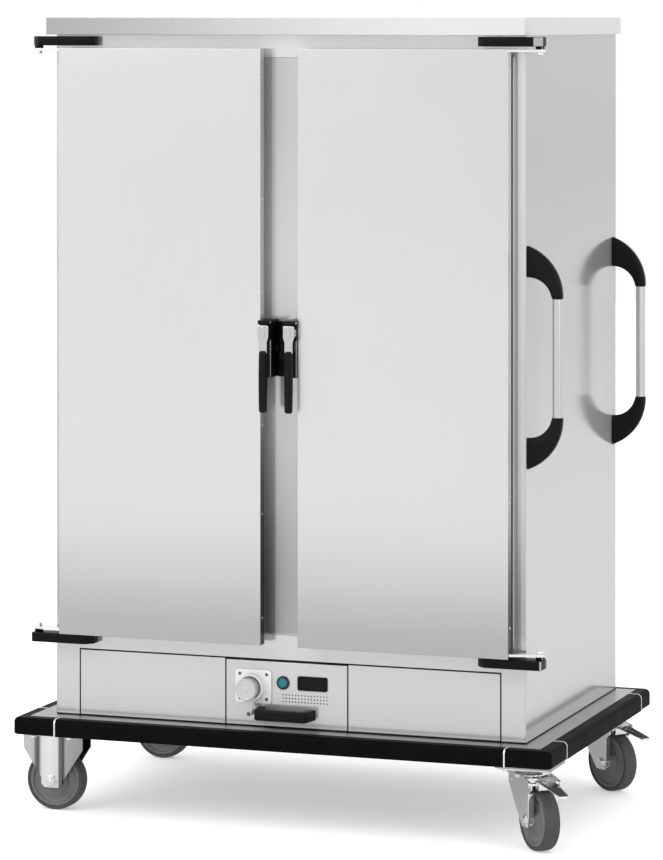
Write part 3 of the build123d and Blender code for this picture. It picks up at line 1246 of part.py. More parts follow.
def write_drawer():
    """The pull-out heating drawer."""
    bezel, button = button_pieces()
    motor, wheel = fan_pieces()
    save("drawer_fascia", drawer_fascia())
    save("drawer_chassis", drawer_chassis())
    save("bow_handle", bow_handle())
    save("inlet_housing", *inlet_pieces())
    save("inlet_cap", inlet_cap())
    save("button_bezel", bezel)
    save("power_button", button)
    save("display_window", display_window())
    save("control_box", control_box())
    save("heating_element", heating_element())
    save("fan_motor", motor)
    save("fan_impeller", wheel)


write_cabinet()
write_doors()
write_castors()
write_drawer()
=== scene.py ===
"""Looks of the heated holding cabinet: finishes, small fittings, castors, latches and the studio round it."""

import json
from math import cos, pi, radians, sin

import bpy
import numpy as np
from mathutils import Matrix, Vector


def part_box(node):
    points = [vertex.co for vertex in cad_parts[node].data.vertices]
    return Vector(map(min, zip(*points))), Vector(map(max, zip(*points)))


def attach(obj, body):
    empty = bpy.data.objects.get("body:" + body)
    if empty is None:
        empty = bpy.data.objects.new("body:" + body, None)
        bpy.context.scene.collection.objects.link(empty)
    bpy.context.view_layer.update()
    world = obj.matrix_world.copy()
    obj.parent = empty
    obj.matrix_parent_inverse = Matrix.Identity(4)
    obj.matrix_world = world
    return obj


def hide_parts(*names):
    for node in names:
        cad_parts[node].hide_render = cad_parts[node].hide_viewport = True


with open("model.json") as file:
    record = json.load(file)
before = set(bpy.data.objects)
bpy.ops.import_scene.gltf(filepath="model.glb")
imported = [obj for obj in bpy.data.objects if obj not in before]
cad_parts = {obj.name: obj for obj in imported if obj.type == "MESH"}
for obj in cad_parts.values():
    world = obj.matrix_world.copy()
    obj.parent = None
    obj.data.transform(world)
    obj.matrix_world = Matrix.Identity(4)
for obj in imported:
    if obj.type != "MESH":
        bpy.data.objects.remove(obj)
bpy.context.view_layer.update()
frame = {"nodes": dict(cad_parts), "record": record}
NODES = frame["nodes"]
MOVES = {joint["name"]: joint for joint in frame["record"]["behaviour"]["joints"]}
MM = 0.001
FINISHES = {}

bl_info = {
    "name": "Heated Holding Cabinet",
    "version": (1, 0, 0),
    "blender": (4, 5, 0),
    "location": "View3D > Sidebar > Cabinet",
    "description": "Dresses the packed heated holding cabinet and sets it in a plain studio",
    "category": "Object",
}


# Sizes and colours that someone would change

def length(name, text, value):
    """A length in metres, given in millimetres."""
    return bpy.props.FloatProperty(
        name=name, description=text, default=value * MM, unit="LENGTH", precision=4
    )


def colour(name, text, value):
    """An opaque colour written as its linear values."""
    return bpy.props.FloatVectorProperty(
        name=name, description=text, default=value, subtype="COLOR", size=3, min=0.0, max=1.0
    )


def share(name, text, value):
    """A plain share between nothing and all."""
    return bpy.props.FloatProperty(
        name=name, description=text, default=value, min=0.0, max=1.0, subtype="FACTOR"
    )


def number(name, text, value, unit="NONE"):
    """A plain number, with a unit where one fits."""
    return bpy.props.FloatProperty(name=name, description=text, default=value, unit=unit)


class CabinetFinish(bpy.types.PropertyGroup):
    """Colours and polish of the cabinet's materials."""

    door: colour("Door steel", "Satin steel of the door skins", (0.82, 0.82, 0.815))
    body: colour("Body steel", "Satin steel of the frame, sides, back and lid", (0.80, 0.80, 0.795))
    base: colour("Base steel", "Satin steel of the base plate", (0.35, 0.35, 0.35))
    liner: colour("Liner steel", "Duller steel inside the chambers", (0.55, 0.55, 0.54))
    chrome: colour("Bright metal", "Polished levers and tubes", (0.62, 0.62, 0.62))
    zinc: colour("Zinc plate", "Plated castor forks and clips", (0.85, 0.85, 0.84))
    black: colour("Black plastic", "Moulded hinges, grips and horns", (0.0035, 0.0035, 0.0038))
    rubber: colour("Bumper rubber", "Black bumper round the base", (0.004, 0.004, 0.0043))
    tread: colour("Tyre rubber", "Grey tyres", (0.040, 0.040, 0.040))
    hub: colour("Hub plastic", "Grey wheel centres", (0.11, 0.11, 0.11))
    pale: colour("Pale plastic", "Inlet flange and shroud", (0.66, 0.66, 0.65))
    lens: colour("Button lens", "Teal push button", (0.008, 0.14, 0.17))
    polish: share("Steel roughness", "Roughness of the satin steel", 0.30)
    edge: length("Edge radius", "Shaded radius on folded edges", 1.2)


class CabinetView(bpy.types.PropertyGroup):
    """Where the camera stands and how strongly the studio is lit."""

    eye: bpy.props.FloatVectorProperty(
        name="Eye", description="Camera position", default=(2.6971, -7.6617, 1.641), subtype="XYZ",
        unit="LENGTH",
    )
    turn: bpy.props.FloatProperty(
        name="Turn", description="Camera turn about the upright", default=radians(19.54), subtype="ANGLE"
    )
    lens: number("Lens", "Focal length in millimetres", 161.34, "CAMERA")
    horizon_row: number("Horizon row", "Horizon's pixel row in the frame", 18.5)
    frame_height: number("Frame height", "Picture height in pixels", 860.0)
    sky: number("Sky", "Strength of the world's light on the cabinet", 1.16)
    key: number("Key lamp", "Power of the lamp at the left", 150.0, "POWER")
    fill: number("Fill lamp", "Power of the lamp at the right", 45.0, "POWER")


# Node helpers

class Tree:
    """A short way to add and link shader nodes in one tree."""

    def __init__(self, tree):
        self.tree = tree

    def add(self, kind, **values):
        node = self.tree.nodes.new(kind)
        for key, value in values.items():
            setattr(node, key, value)
        return node

    def link(self, source, target):
        self.tree.links.new(source, target)

    def math(self, operation, first, second=None):
        """A maths node on sockets or plain numbers, and its output."""
        node = self.add("ShaderNodeMath", operation=operation)
        for socket, value in zip(node.inputs, (first, second)):
            if isinstance(value, (int, float)):
                socket.default_value = value
            elif value is not None:
                self.link(value, socket)
        return node.outputs[0]

    def between(self, value, low, high):
        """Carries a value from 0..1 to low..high."""
        node = self.add("ShaderNodeMapRange")
        self.link(value, node.inputs["Value"])
        node.inputs["To Min"].default_value = low
        node.inputs["To Max"].default_value = high
        return node.outputs["Result"]

    def mixed(self, factor, low, high):
        """Low where the factor is 0 and high where it is 1; either may be a socket."""
        return self.math("ADD", self.math("MULTIPLY", self.math("SUBTRACT", high, low), factor), low)

    def level(self, value, stops):
        """A grey level along a value, smooth through pairs of place and level."""
        low, high = stops[0][0], stops[-1][0]
        spread = self.add("ShaderNodeMapRange")
        self.link(value, spread.inputs["Value"])
        spread.inputs["From Min"].default_value = low
        spread.inputs["From Max"].default_value = high
        ramp = self.add("ShaderNodeValToRGB")
        ramp.color_ramp.interpolation = "CARDINAL"
        elements = ramp.color_ramp.elements
        elements.remove(elements[1])
        elements[0].position = 0.0
        elements[0].color = (*[stops[0][1]] * 3, 1)
        for place, grey in stops[1:]:
            elements.new((place - low) / (high - low)).color = (*[grey] * 3, 1)
        self.link(spread.outputs["Result"], ramp.inputs["Fac"])
        return ramp.outputs["Color"]

    def parts(self, output):
        """X, Y and Z of the object's coordinates or of its normals."""
        coords = self.add("ShaderNodeTexCoord")
        split = self.add("ShaderNodeSeparateXYZ")
        self.link(coords.outputs[output], split.inputs["Vector"])
        return split.outputs

    def all_of(self, *tests):
        """1 where every test, an operation with its two values, holds."""
        result = 1.0
        for test in tests:
            result = self.math("MULTIPLY", self.math(*test), result)
        return result


def new_group(name, inputs, outputs):
    """An empty node group with float inputs and the named outputs, ready to fill."""
    group = bpy.data.node_groups.new(name, "ShaderNodeTree")
    for label, default in inputs.items():
        kind = "NodeSocketVector" if isinstance(default, tuple) else "NodeSocketFloat"
        socket = group.interface.new_socket(label, in_out="INPUT", socket_type=kind)
        socket.default_value = default
    for label in outputs:
        group.interface.new_socket(label, in_out="OUTPUT", socket_type="NodeSocketFloat")
    tree = Tree(group)
    return group, tree, tree.add("NodeGroupInput"), tree.add("NodeGroupOutput")


def grain_group():
    """Brushing: fine streaks drawn out along one axis, with a slower drift of polish."""
    inputs = {"Scale": (900.0, 900.0, 14.0), "Drift": 3.0}
    group, tree, start, end = new_group("brushed_grain", inputs, ("Streaks", "Drift"))
    coords = tree.add("ShaderNodeTexCoord")
    stretch = tree.add("ShaderNodeMapping")
    tree.link(coords.outputs["Object"], stretch.inputs["Vector"])
    tree.link(start.outputs["Scale"], stretch.inputs["Scale"])
    streaks = tree.add("ShaderNodeTexNoise")
    streaks.inputs["Scale"].default_value = 1.0
    streaks.inputs["Detail"].default_value = 3.0
    tree.link(stretch.outputs["Vector"], streaks.inputs["Vector"])
    drift = tree.add("ShaderNodeTexNoise")
    drift.inputs["Detail"].default_value = 2.0
    tree.link(coords.outputs["Object"], drift.inputs["Vector"])
    tree.link(start.outputs["Drift"], drift.inputs["Scale"])
    tree.link(streaks.outputs["Fac"], end.inputs["Streaks"])
    tree.link(drift.outputs["Fac"], end.inputs["Drift"])
    return group


def speckle_group():
    """Moulded texture: small round grains, with a slower blotch for handling and dust."""
    inputs = {"Scale": 900.0, "Blotch": 14.0}
    group, tree, start, end = new_group("moulded_speckle", inputs, ("Grain", "Blotch"))
    coords = tree.add("ShaderNodeTexCoord")
    for label, scale in (("Grain", "Scale"), ("Blotch", "Blotch")):
        noise = tree.add("ShaderNodeTexNoise")
        noise.inputs["Detail"].default_value = 2.0
        tree.link(coords.outputs["Object"], noise.inputs["Vector"])
        tree.link(start.outputs[scale], noise.inputs["Scale"])
        tree.link(noise.outputs["Fac"], end.inputs[label])
    return group


def group_named(name, maker):
    """The shared node group of that name, made the first time it is asked for."""
    return bpy.data.node_groups.get(name) or maker()


def new_material(name):
    """A material with its Principled shader and a tree helper."""
    material = bpy.data.materials.new(name)
    material.use_nodes = True
    tree = Tree(material.node_tree)
    return material, tree, material.node_tree.nodes["Principled BSDF"]


def rounded_normal(tree, radius, height, strength, distance):
    """A normal that rounds sharp edges, with a bump on it."""
    bevel = tree.add("ShaderNodeBevel", samples=6)
    bevel.inputs["Radius"].default_value = radius
    bump = tree.add("ShaderNodeBump")
    bump.inputs["Strength"].default_value = strength
    bump.inputs["Distance"].default_value = distance
    tree.link(height, bump.inputs["Height"])
    tree.link(bevel.outputs["Normal"], bump.inputs["Normal"])
    return bump.outputs["Normal"]


def tinted(tree, base, value, spread):
    """The base colour, a little darker and lighter as value goes from 0 to 1."""
    ramp = tree.add("ShaderNodeValToRGB")
    low = [c * (1 - spread) for c in base]
    high = [min(1.0, c * (1 + spread)) for c in base]
    ramp.color_ramp.elements[0].position = 0.25
    ramp.color_ramp.elements[1].position = 0.75
    ramp.color_ramp.elements[0].color = (*low, 1)
    ramp.color_ramp.elements[1].color = (*high, 1)
    tree.link(value, ramp.inputs["Fac"])
    return ramp.outputs["Color"]


def blended(tree, kind, first, second):
    """A colour socket and another socket, multiplied or added."""
    mix = tree.add("ShaderNodeMix", data_type="RGBA", blend_type=kind)
    mix.inputs["Factor"].default_value = 1.0
    tree.link(first, mix.inputs["A"])
    tree.link(second, mix.inputs["B"])
    return mix.outputs["Result"]


# Where the painted shade and reflections on the steel change, in metres, and their level where nothing sets
# them off

FRONT_FACE = -0.3
LID_LOW = 1.607
POST_HALF, POST_LOW, POST_HIGH = 0.0552, 0.3942, 1.5602
DOOR_MIDDLE = 0.1
BAR_END = 0.529
EVEN_PAINTED_SHADE = 0.72
GLINT = 0.30


def cabinet_painted_shade(tree):
    """Painted shade and reflections on the body steel: the front evenly lit, the sides by height, the lid
    along its length and the middle post by both.
    """
    place, normal = tree.parts("Object"), tree.parts("Normal")
    x, y, z = place["X"], place["Y"], place["Z"]
    at_front = tree.math("LESS_THAN", y, FRONT_FACE)
    at_lid = tree.math("GREATER_THAN", z, LID_LOW)
    front = tree.level(z, (
        (0.2, 0.67), (0.34, 0.68), (0.39, 0.72), (0.42, 0.52), (0.5, 0.52), (0.65, 0.68), (0.85, 0.75),
        (1.6, 0.86),
    ))
    sides = tree.level(z, ((0.2, 0.71), (0.45, 0.71), (0.85, 0.66), (1.28, 0.48), (1.6, 0.49)))
    lid = tree.level(x, ((-0.51, 0.44), (-0.16, 0.61), (0.05, 0.73), (0.3, 0.82), (0.5, 0.82)))
    post_low = tree.level(x, ((-0.04, 0.2), (-0.027, 0.3), (-0.014, 0.36), (0.0, 0.42), (0.03, 0.47)))
    post_high = tree.level(x, ((-0.04, 0.78), (-0.014, 0.78), (0.0, 0.76), (0.03, 0.78)))
    rise = tree.level(z, ((0.5, 0.0), (0.645, 0.33), (0.79, 0.75), (0.95, 1.0), (1.15, 1.0), (1.45, 0.7)))
    at_post = tree.all_of(
        ("LESS_THAN", tree.math("ABSOLUTE", x), POST_HALF), ("LESS_THAN", y, FRONT_FACE),
        ("GREATER_THAN", z, POST_LOW), ("LESS_THAN", z, POST_HIGH),
    )
    face = tree.mixed(at_lid, tree.mixed(at_front, EVEN_PAINTED_SHADE, front), lid)
    face = tree.mixed(at_post, face, tree.mixed(rise, post_low, post_high))
    return tree.mixed(tree.math("ABSOLUTE", normal["X"]), face, tree.mixed(at_lid, sides, EVEN_PAINTED_SHADE))


def door_painted_shade(tree):
    """Painted shade and reflection on the door steel: even over most of the height and darker to the floor,
    with the doors' side walls in deeper painted shade still.
    """
    place, normal = tree.parts("Object"), tree.parts("Normal")
    faces = tree.level(place["Z"], (
        (0.375, 0.54), (0.43, 0.58), (0.49, 0.68), (0.58, 0.80), (0.69, 0.86), (1.08, 0.85), (1.48, 0.78),
        (1.6, 0.77),
    ))
    inner = tree.level(place["Z"], (
        (0.4, 0.03), (0.52, 0.04), (0.65, 0.08), (0.79, 0.22), (0.95, 0.6), (1.1, 0.7), (1.6, 0.65),
    ))
    outer = tree.level(place["Z"], ((0.4, 0.12), (0.5, 0.25), (0.6, 0.6), (0.7, 0.85), (1.6, 0.9)))
    at_middle = tree.math("LESS_THAN", tree.math("ABSOLUTE", place["X"]), DOOR_MIDDLE)
    walls = tree.mixed(at_middle, outer, inner)
    return tree.mixed(tree.math("ABSOLUTE", normal["X"]), faces, walls)


def castor_painted_reflection(tree):
    """Painted dark reflections along the bends beside the channel of the fixed forks, and painted shade
    dulling their flanges.
    """
    return tree.level(tree.parts("Object")["X"], (
        (-0.60, 0.6), (-0.562, 0.6), (-0.557, 0.22), (-0.549, 0.22), (-0.544, 0.82), (-0.504, 0.82),
        (-0.501, 0.22), (-0.496, 0.22), (-0.491, 0.42), (-0.44, 0.42), (-0.40, 1.0),
    ))


def end_glint(tree):
    """The pale glint on the outer corner of the right hinge bars."""
    place, normal = tree.parts("Object"), tree.parts("Normal")
    facet = tree.all_of(
        ("GREATER_THAN", normal["X"], 0.6), ("LESS_THAN", normal["Y"], -0.6),
        ("GREATER_THAN", place["X"], BAR_END),
    )
    return tree.math("MULTIPLY", facet, GLINT)


def brushed_metal(name, base, roughness, grain, edge, drift=0.03, spread=0.012, painted_light=None, metal=1.0):
    """Brushed metal: streaks in colour, roughness and bump along one axis, and painted shade and reflections
    multiplied over the whole where given.
    """
    material, tree, shader = new_material(name)
    group = tree.add("ShaderNodeGroup", node_tree=group_named("brushed_grain", grain_group))
    group.inputs["Scale"].default_value = grain
    streaks, slow = group.outputs["Streaks"], group.outputs["Drift"]
    steel = tinted(tree, base, streaks, spread)
    # Painted shade and reflections, where given, are multiplied into the steel's colour
    if painted_light:
        steel = blended(tree, "MULTIPLY", steel, painted_light(tree))
    tree.link(steel, shader.inputs["Base Color"])
    worn = tree.math("ADD", tree.between(streaks, -0.03, 0.03), tree.between(slow, -drift, drift))
    tree.link(tree.math("ADD", worn, roughness), shader.inputs["Roughness"])
    tree.link(rounded_normal(tree, edge, streaks, 0.02, 0.0001), shader.inputs["Normal"])
    shader.inputs["Metallic"].default_value = metal
    FINISHES[name] = material


def moulded(
    name, base, roughness, scale, edge, bump=0.12, coat=0.0, spread=0.12, shine=0.5, ior=1.5, glint=None
):
    """Moulded plastic or rubber: a fine grain, with blotches of handling in its polish."""
    material, tree, shader = new_material(name)
    group = tree.add("ShaderNodeGroup", node_tree=group_named("moulded_speckle", speckle_group))
    group.inputs["Scale"].default_value = scale
    grain, blotch = group.outputs["Grain"], group.outputs["Blotch"]
    shade = tinted(tree, base, blotch, spread)
    if glint:
        shade = blended(tree, "ADD", shade, glint(tree))
    tree.link(shade, shader.inputs["Base Color"])
    tree.link(tree.math("ADD", tree.between(blotch, -0.08, 0.08), roughness), shader.inputs["Roughness"])
    tree.link(rounded_normal(tree, edge, grain, bump, 0.0002), shader.inputs["Normal"])
    shader.inputs["Coat Weight"].default_value = coat
    shader.inputs["Specular IOR Level"].default_value = shine
    shader.inputs["IOR"].default_value = ior
    FINISHES[name] = material


def build_materials(finish):
    """Every finish, under the name of the record's slot that it dresses."""
    upright, level_x, level_y = (900.0, 900.0, 9.0), (9.0, 900.0, 900.0), (900.0, 9.0, 900.0)
    rough, edge = finish.polish, finish.edge
    dim_pale = tuple(c * 0.62 for c in finish.pale)
    # Name, colour, roughness, grain, edge radius in metres, then what departs from the usual
    # The body steel and the door steel below carry painted shade and reflections multiplied into their colour
    brushed_metal("cabinet_steel", finish.body, rough - 0.16, upright, edge, painted_light=cabinet_painted_shade, metal=0.6)
    brushed_metal("door_steel", finish.door, rough, upright, edge, painted_light=door_painted_shade)
    brushed_metal("base_steel", finish.base, rough, level_x, edge)
    brushed_metal("liner_steel", finish.liner, rough + 0.08, level_y, 0.0006)
    brushed_metal("clip_steel", finish.zinc, 0.3, level_x, 0.0006)
    moulded("bumper_rubber", finish.rubber, 0.4, 500.0, 0.0015, 0.06, shine=0.3, ior=1.08)
    moulded("insulation_foam", (0.75, 0.62, 0.34), 0.9, 300.0, 0.001, 0.5)
    moulded("gasket_rubber", (0.30, 0.30, 0.30), 0.6, 700.0, 0.0008, shine=0.2)
    moulded("hinge_plastic", finish.black, 0.38, 1200.0, 0.0012, shine=0.3, ior=1.25, glint=end_glint)
    brushed_metal("hinge_steel", finish.zinc, 0.28, level_x, 0.0006)
    moulded("handle_plastic", finish.black, 0.42, 1200.0, 0.0015, shine=0.3, ior=1.3)
    brushed_metal("handle_steel", finish.chrome, 0.22, level_y, 0.0008)
    moulded("latch_plastic", finish.black, 0.42, 1200.0, 0.001, shine=0.3, ior=1.3)
    brushed_metal("latch_chrome", finish.chrome, 0.16, upright, 0.0008)
    moulded("inlet_plastic", finish.pale, 0.35, 800.0, 0.0008, 0.05, 0.2, 0.04)
    moulded("cap_plastic", dim_pale, 0.35, 800.0, 0.0008, 0.05, 0.2, 0.04)
    moulded("button_lens", finish.lens, 0.2, 400.0, 0.0012, 0.02, 0.2, shine=0.3)
    moulded("display_black", (0.008, 0.008, 0.009), 0.2, 400.0, 0.0008, 0.02, shine=0.3, ior=1.2)
    moulded("control_plastic", (0.01, 0.011, 0.012), 0.35, 900.0, 0.0008)
    brushed_metal("element_steel", (0.14, 0.12, 0.11), 0.45, level_y, 0.0006, 0.1, 0.2)
    moulded("motor_metal", (0.06, 0.07, 0.08), 0.4, 600.0, 0.0008)
    brushed_metal("fan_aluminium", (0.75, 0.75, 0.75), 0.35, level_x, 0.0006)
    # The castor zinc carries painted dark reflections and painted shade along X, multiplied into its colour
    brushed_metal("zinc_plate", finish.zinc, 0.16, level_x, 0.0022, 0.06, 0.04, castor_painted_reflection)
    moulded("tyre_rubber", finish.tread, 0.6, 700.0, 0.0008, 0.2)
    moulded("hub_plastic", finish.hub, 0.45, 700.0, 0.0008, 0.1)


# Places on the right half in millimetres, and directions

FRONT = -335.0
DOOR_IN, DOOR_OUT, DOOR_LOW, DOOR_HIGH = 40.0, 482.0, 375.5, 1580.0
DOOR_WIDTH, DOOR_HEIGHT = DOOR_OUT - DOOR_IN, DOOR_HIGH - DOOR_LOW
DOOR_CENTRE = ((DOOR_IN + DOOR_OUT) / 2, (DOOR_LOW + DOOR_HIGH) / 2)
PIVOT = (539.5, -350.0, 0)
LATCH_X = 27.5
SWIVELS = ("front_right", "rear_right")
LEFT, RIGHT, BACK, FORTH, UP = (-1, 0, 0), (1, 0, 0), (0, 1, 0), (0, -1, 0), (0, 0, 1)


# Surfaces, worked out as arrays of points in millimetres

def softened(corners, radius, steps):
    """An outline with each corner rounded: points on the circle that touches both of its edges."""
    corners = np.asarray(corners, float)
    points = []
    for before, corner, after in zip(np.roll(corners, 1, axis=0), corners, np.roll(corners, -1, axis=0)):
        back, on = before - corner, after - corner
        back_length, on_length = np.linalg.norm(back), np.linalg.norm(on)
        back, on = back / back_length, on / on_length
        half = np.arccos(np.clip(back @ on, -1, 1)) / 2
        reach = min(radius / np.tan(half), 0.49 * back_length, 0.49 * on_length)
        bend = reach * np.tan(half)
        centre = corner + (back + on) / np.linalg.norm(back + on) * bend / np.sin(half)
        start, end = corner + back * reach - centre, corner + on * reach - centre
        turn = pi - 2 * half
        for along in np.arange(steps + 1) / steps:
            points.append(
                centre + (np.sin((1 - along) * turn) * start + np.sin(along * turn) * end) / np.sin(turn)
            )
    return np.array(points)


def rounded_rectangle(width, height, radius, steps):
    """A rounded rectangle about the middle, counter-clockwise."""
    w, h = width / 2, height / 2
    return softened([(-w, -h), (w, -h), (w, h), (-w, h)], radius, steps)


def inset(outline, amount):
    """The outline moved inwards: each corner goes along the sum of its two edges' inward normals."""
    ahead = np.roll(outline, -1, axis=0) - outline
    ahead /= np.linalg.norm(ahead, axis=1, keepdims=True)
    normals = np.stack([-ahead[:, 1], ahead[:, 0]], axis=1)
    before = np.roll(normals, 1, axis=0)
    corner = (normals + before) / (1 + np.sum(normals * before, axis=1, keepdims=True))
    return outline + corner * amount


def level_ring(outline, height):
    """A flat outline laid level at a height."""
    return np.column_stack([outline, np.full(len(outline), height)])


def upright_ring(outline, depth, centre=(0, 0)):
    """A flat outline stood upright at a depth, round a centre."""
    across, up = (outline + centre).T
    return np.column_stack([across, np.full(len(outline), depth), up])


def padded(outline, low, high, radius, steps=4):
    """Loops of a slab with rounded rims: inset r(1 - sin a) at height r(1 - cos a), a up to 90 degrees."""
    if np.sum(np.cross(outline, np.roll(outline, -1, axis=0))) < 0:
        outline = outline[::-1]
    loops = []
    for direction, level in ((1, low), (-1, high)):
        rim = [(radius * 1.2, level)]
        for a in np.arange(steps + 1) / steps * pi / 2:
            rim.append((radius * (1 - sin(a)), level + direction * radius * (1 - cos(a))))
        loops += [level_ring(inset(outline, amount), height) for amount, height in rim[::direction]]
    return np.array(loops)


def squircle(half_u, half_v, count, power):
    """A superellipse: |u/a|^n + |v/b|^n = 1 as (count, 2) points."""
    angle = np.linspace(0, 2 * pi, count, endpoint=False)
    waves = np.column_stack([np.cos(angle), np.sin(angle)])
    return np.sign(waves) * np.abs(waves) ** (2 / power) * (half_u, half_v)


def arc_through(start, middle, end, count):
    """Points on the circle through three points in a plane, from the first to the last."""
    (ax, ay), (bx, by), (cx, cy) = start, middle, end
    d = 2 * (ax * (by - cy) + bx * (cy - ay) + cx * (ay - by))
    a2, b2, c2 = ax * ax + ay * ay, bx * bx + by * by, cx * cx + cy * cy
    centre = np.array([
        a2 * (by - cy) + b2 * (cy - ay) + c2 * (ay - by), a2 * (cx - bx) + b2 * (ax - cx) + c2 * (bx - ax),
    ]) / d
    angles = np.unwrap([np.arctan2(y - centre[1], x - centre[0]) for x, y in (start, middle, end)])
    radius = np.hypot(ax - centre[0], ay - centre[1])
    sweep = np.linspace(angles[0], angles[2], count)
    return centre + radius * np.column_stack([np.cos(sweep), np.sin(sweep)])


def axes_of(direction):
    """A direction and two unit vectors square to it, the first as near as can be to straight down."""
    direction = np.asarray(direction, float) / np.linalg.norm(direction)
    first = (0, 0, -1.0) + direction[2] * direction
    if np.linalg.norm(first) < 1e-6:
        first = np.cross(direction, BACK)
    first /= np.linalg.norm(first)
    return direction, first, np.cross(direction, first)


def joined(loops):
    """A shell whose last loop joins its first."""
    return np.array(loops, float), True


def capped(loops):
    """A shell with a cap on its first loop and on its last."""
    return np.array(loops, float), False


def turned(profile, centre, direction, segments):
    """A turned shell: each (radius, height) carried round a line; a ring unless the first radius is 0."""
    direction, first, second = axes_of(direction)
    angle = np.linspace(0, 2 * pi, segments, endpoint=False)[:, None]
    ring = np.cos(angle) * first + np.sin(angle) * second
    centre = np.asarray(centre, float)
    shell = joined if profile[0][0] > 0 else capped
    return shell([centre + direction * height + ring * max(radius, 0.02) for radius, height in profile])


def placed(loops, origin, u=RIGHT, v=UP, w=FORTH):
    """Local loops as a capped shell at an origin, along three directions, or facing the front."""
    u, v, w = (np.asarray(axis, float) for axis in (u, v, w))
    return capped(np.asarray(origin, float) + loops[..., :1] * u + loops[..., 1:2] * v + loops[..., 2:] * w)


def skinned(loops, around):
    """Points and faces over equal closed loops, capped at both ends or joined round, faces outward."""
    count, size = loops.shape[:2]
    points = loops.reshape(-1, 3)
    rows = np.arange(count if around else count - 1)[:, None]
    j = np.arange(size)[None, :]
    low, high = rows * size, (rows + 1) % count * size
    quads = np.stack([low + j, low + (j + 1) % size, high + (j + 1) % size, high + j], axis=-1)
    quads = quads.reshape(-1, 4)
    faces = [tuple(q) for q in quads.tolist()]
    if not around:
        faces += [tuple(range(size))[::-1], tuple(range((count - 1) * size, count * size))]
    rays = points - points.mean(axis=0)
    a, b, c, d = (rays[quads[:, k]] for k in range(4))
    volume = np.sum((np.cross(b, c) + np.cross(c, d)) * a)
    if not around:
        for cap in faces[-2:]:
            ring = rays[list(cap)]
            volume += np.sum(np.cross(ring[1:-1], ring[2:]) * ring[0])
    return points, faces if volume > 0 else [face[::-1] for face in faces]


def build(name, shells, slot, body, replaces=()):
    """One object from several shells, in its slot's finish and on its body."""
    points, faces = [], []
    for loops, around in shells:
        shell_points, shell_faces = skinned(loops, around)
        start = sum(len(block) for block in points)
        points.append(shell_points)
        faces += [tuple(start + i for i in face) for face in shell_faces]
    mesh = bpy.data.meshes.new(name)
    mesh.from_pydata((np.concatenate(points) * MM).tolist(), [], faces)
    mesh.update()
    mesh.polygons.foreach_set("use_smooth", np.ones(len(mesh.polygons), bool))
    piece = bpy.data.objects.new(name, mesh)
    bpy.context.scene.collection.objects.link(piece)
    mesh.materials.append(FINISHES[slot])
    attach(piece, body)
    for node in replaces:
        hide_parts(node)


def dome(centre, direction, radius, proud, segments=16):
    """A low round head: radius r cos a at height p sin a, on a short neck sunk in its face."""
    profile = [(0, -0.4), (radius, -0.4), (radius, 0)]
    profile += [(radius * cos(a), proud * sin(a)) for a in np.linspace(0.25, pi / 2, 5)]
    return turned(profile, centre, direction, segments)


def mirrored(shells):
    """The same shells on the other side of the middle plane."""
    return [(loops * (-1, 1, 1), around) for loops, around in shells]


def both_sides(name, shells, slot, body, replaces=()):
    """A piece on the right, and its mirror on the left."""
    for side, group in (("right", shells), ("left", mirrored(shells))):
        nodes = [f"{node}_{side}" for node in replaces]
        build(f"{name}_{side}", group, slot, body.format(side=side), nodes)


def washer(centre, direction, radius, thick):
    """A flat ring round an axle, with a rim that comes to a blunt edge."""
    bore = 6.2
    profile = [(bore, 0.05), (radius, 0.05), (radius + 0.6, thick / 2), (radius, thick), (bore, thick)]
    return turned(profile, centre, direction, 40)


def fork_place(name, joint):
    """A swivel's centre in plan, the way its fork trails, and the way the joint's axis runs."""
    x, y, _ = np.array(MOVES[f"swivel_{name}_turn"]["pos_m"]) / MM
    across = np.array(MOVES[joint]["axis"], float)
    return np.array([x, y, 0]), np.array([across[1], -across[0], 0.0]), across


# Stage

def soft_lamp(name, place, size, power):
    """A square area lamp that faces the middle of the cabinet."""
    lamp = bpy.data.lights.new(name, "AREA")
    lamp.energy = power
    lamp.size = size
    holder = bpy.data.objects.new(name, lamp)
    holder.location = place
    middle = Vector((0, 0, 0.8))
    holder.rotation_euler = (middle - Vector(place)).to_track_quat("-Z", "Y").to_euler()
    bpy.context.scene.collection.objects.link(holder)


def studio_world(level):
    """White to the camera, glossy and transmitted rays, and a softer grey light to the rest."""
    world = bpy.data.worlds.new("studio")
    bpy.context.scene.world = world
    world.use_nodes = True
    tree = Tree(world.node_tree)
    shader = world.node_tree.nodes["Background"]
    rays = tree.add("ShaderNodeLightPath")
    seen = tree.math("MAXIMUM", rays.outputs["Is Camera Ray"], rays.outputs["Is Glossy Ray"])
    seen = tree.math("MAXIMUM", seen, rays.outputs["Is Transmission Ray"])
    tree.link(tree.between(seen, level, 1.0), shader.inputs["Strength"])
    shader.inputs["Color"].default_value = (1, 1, 1, 1)


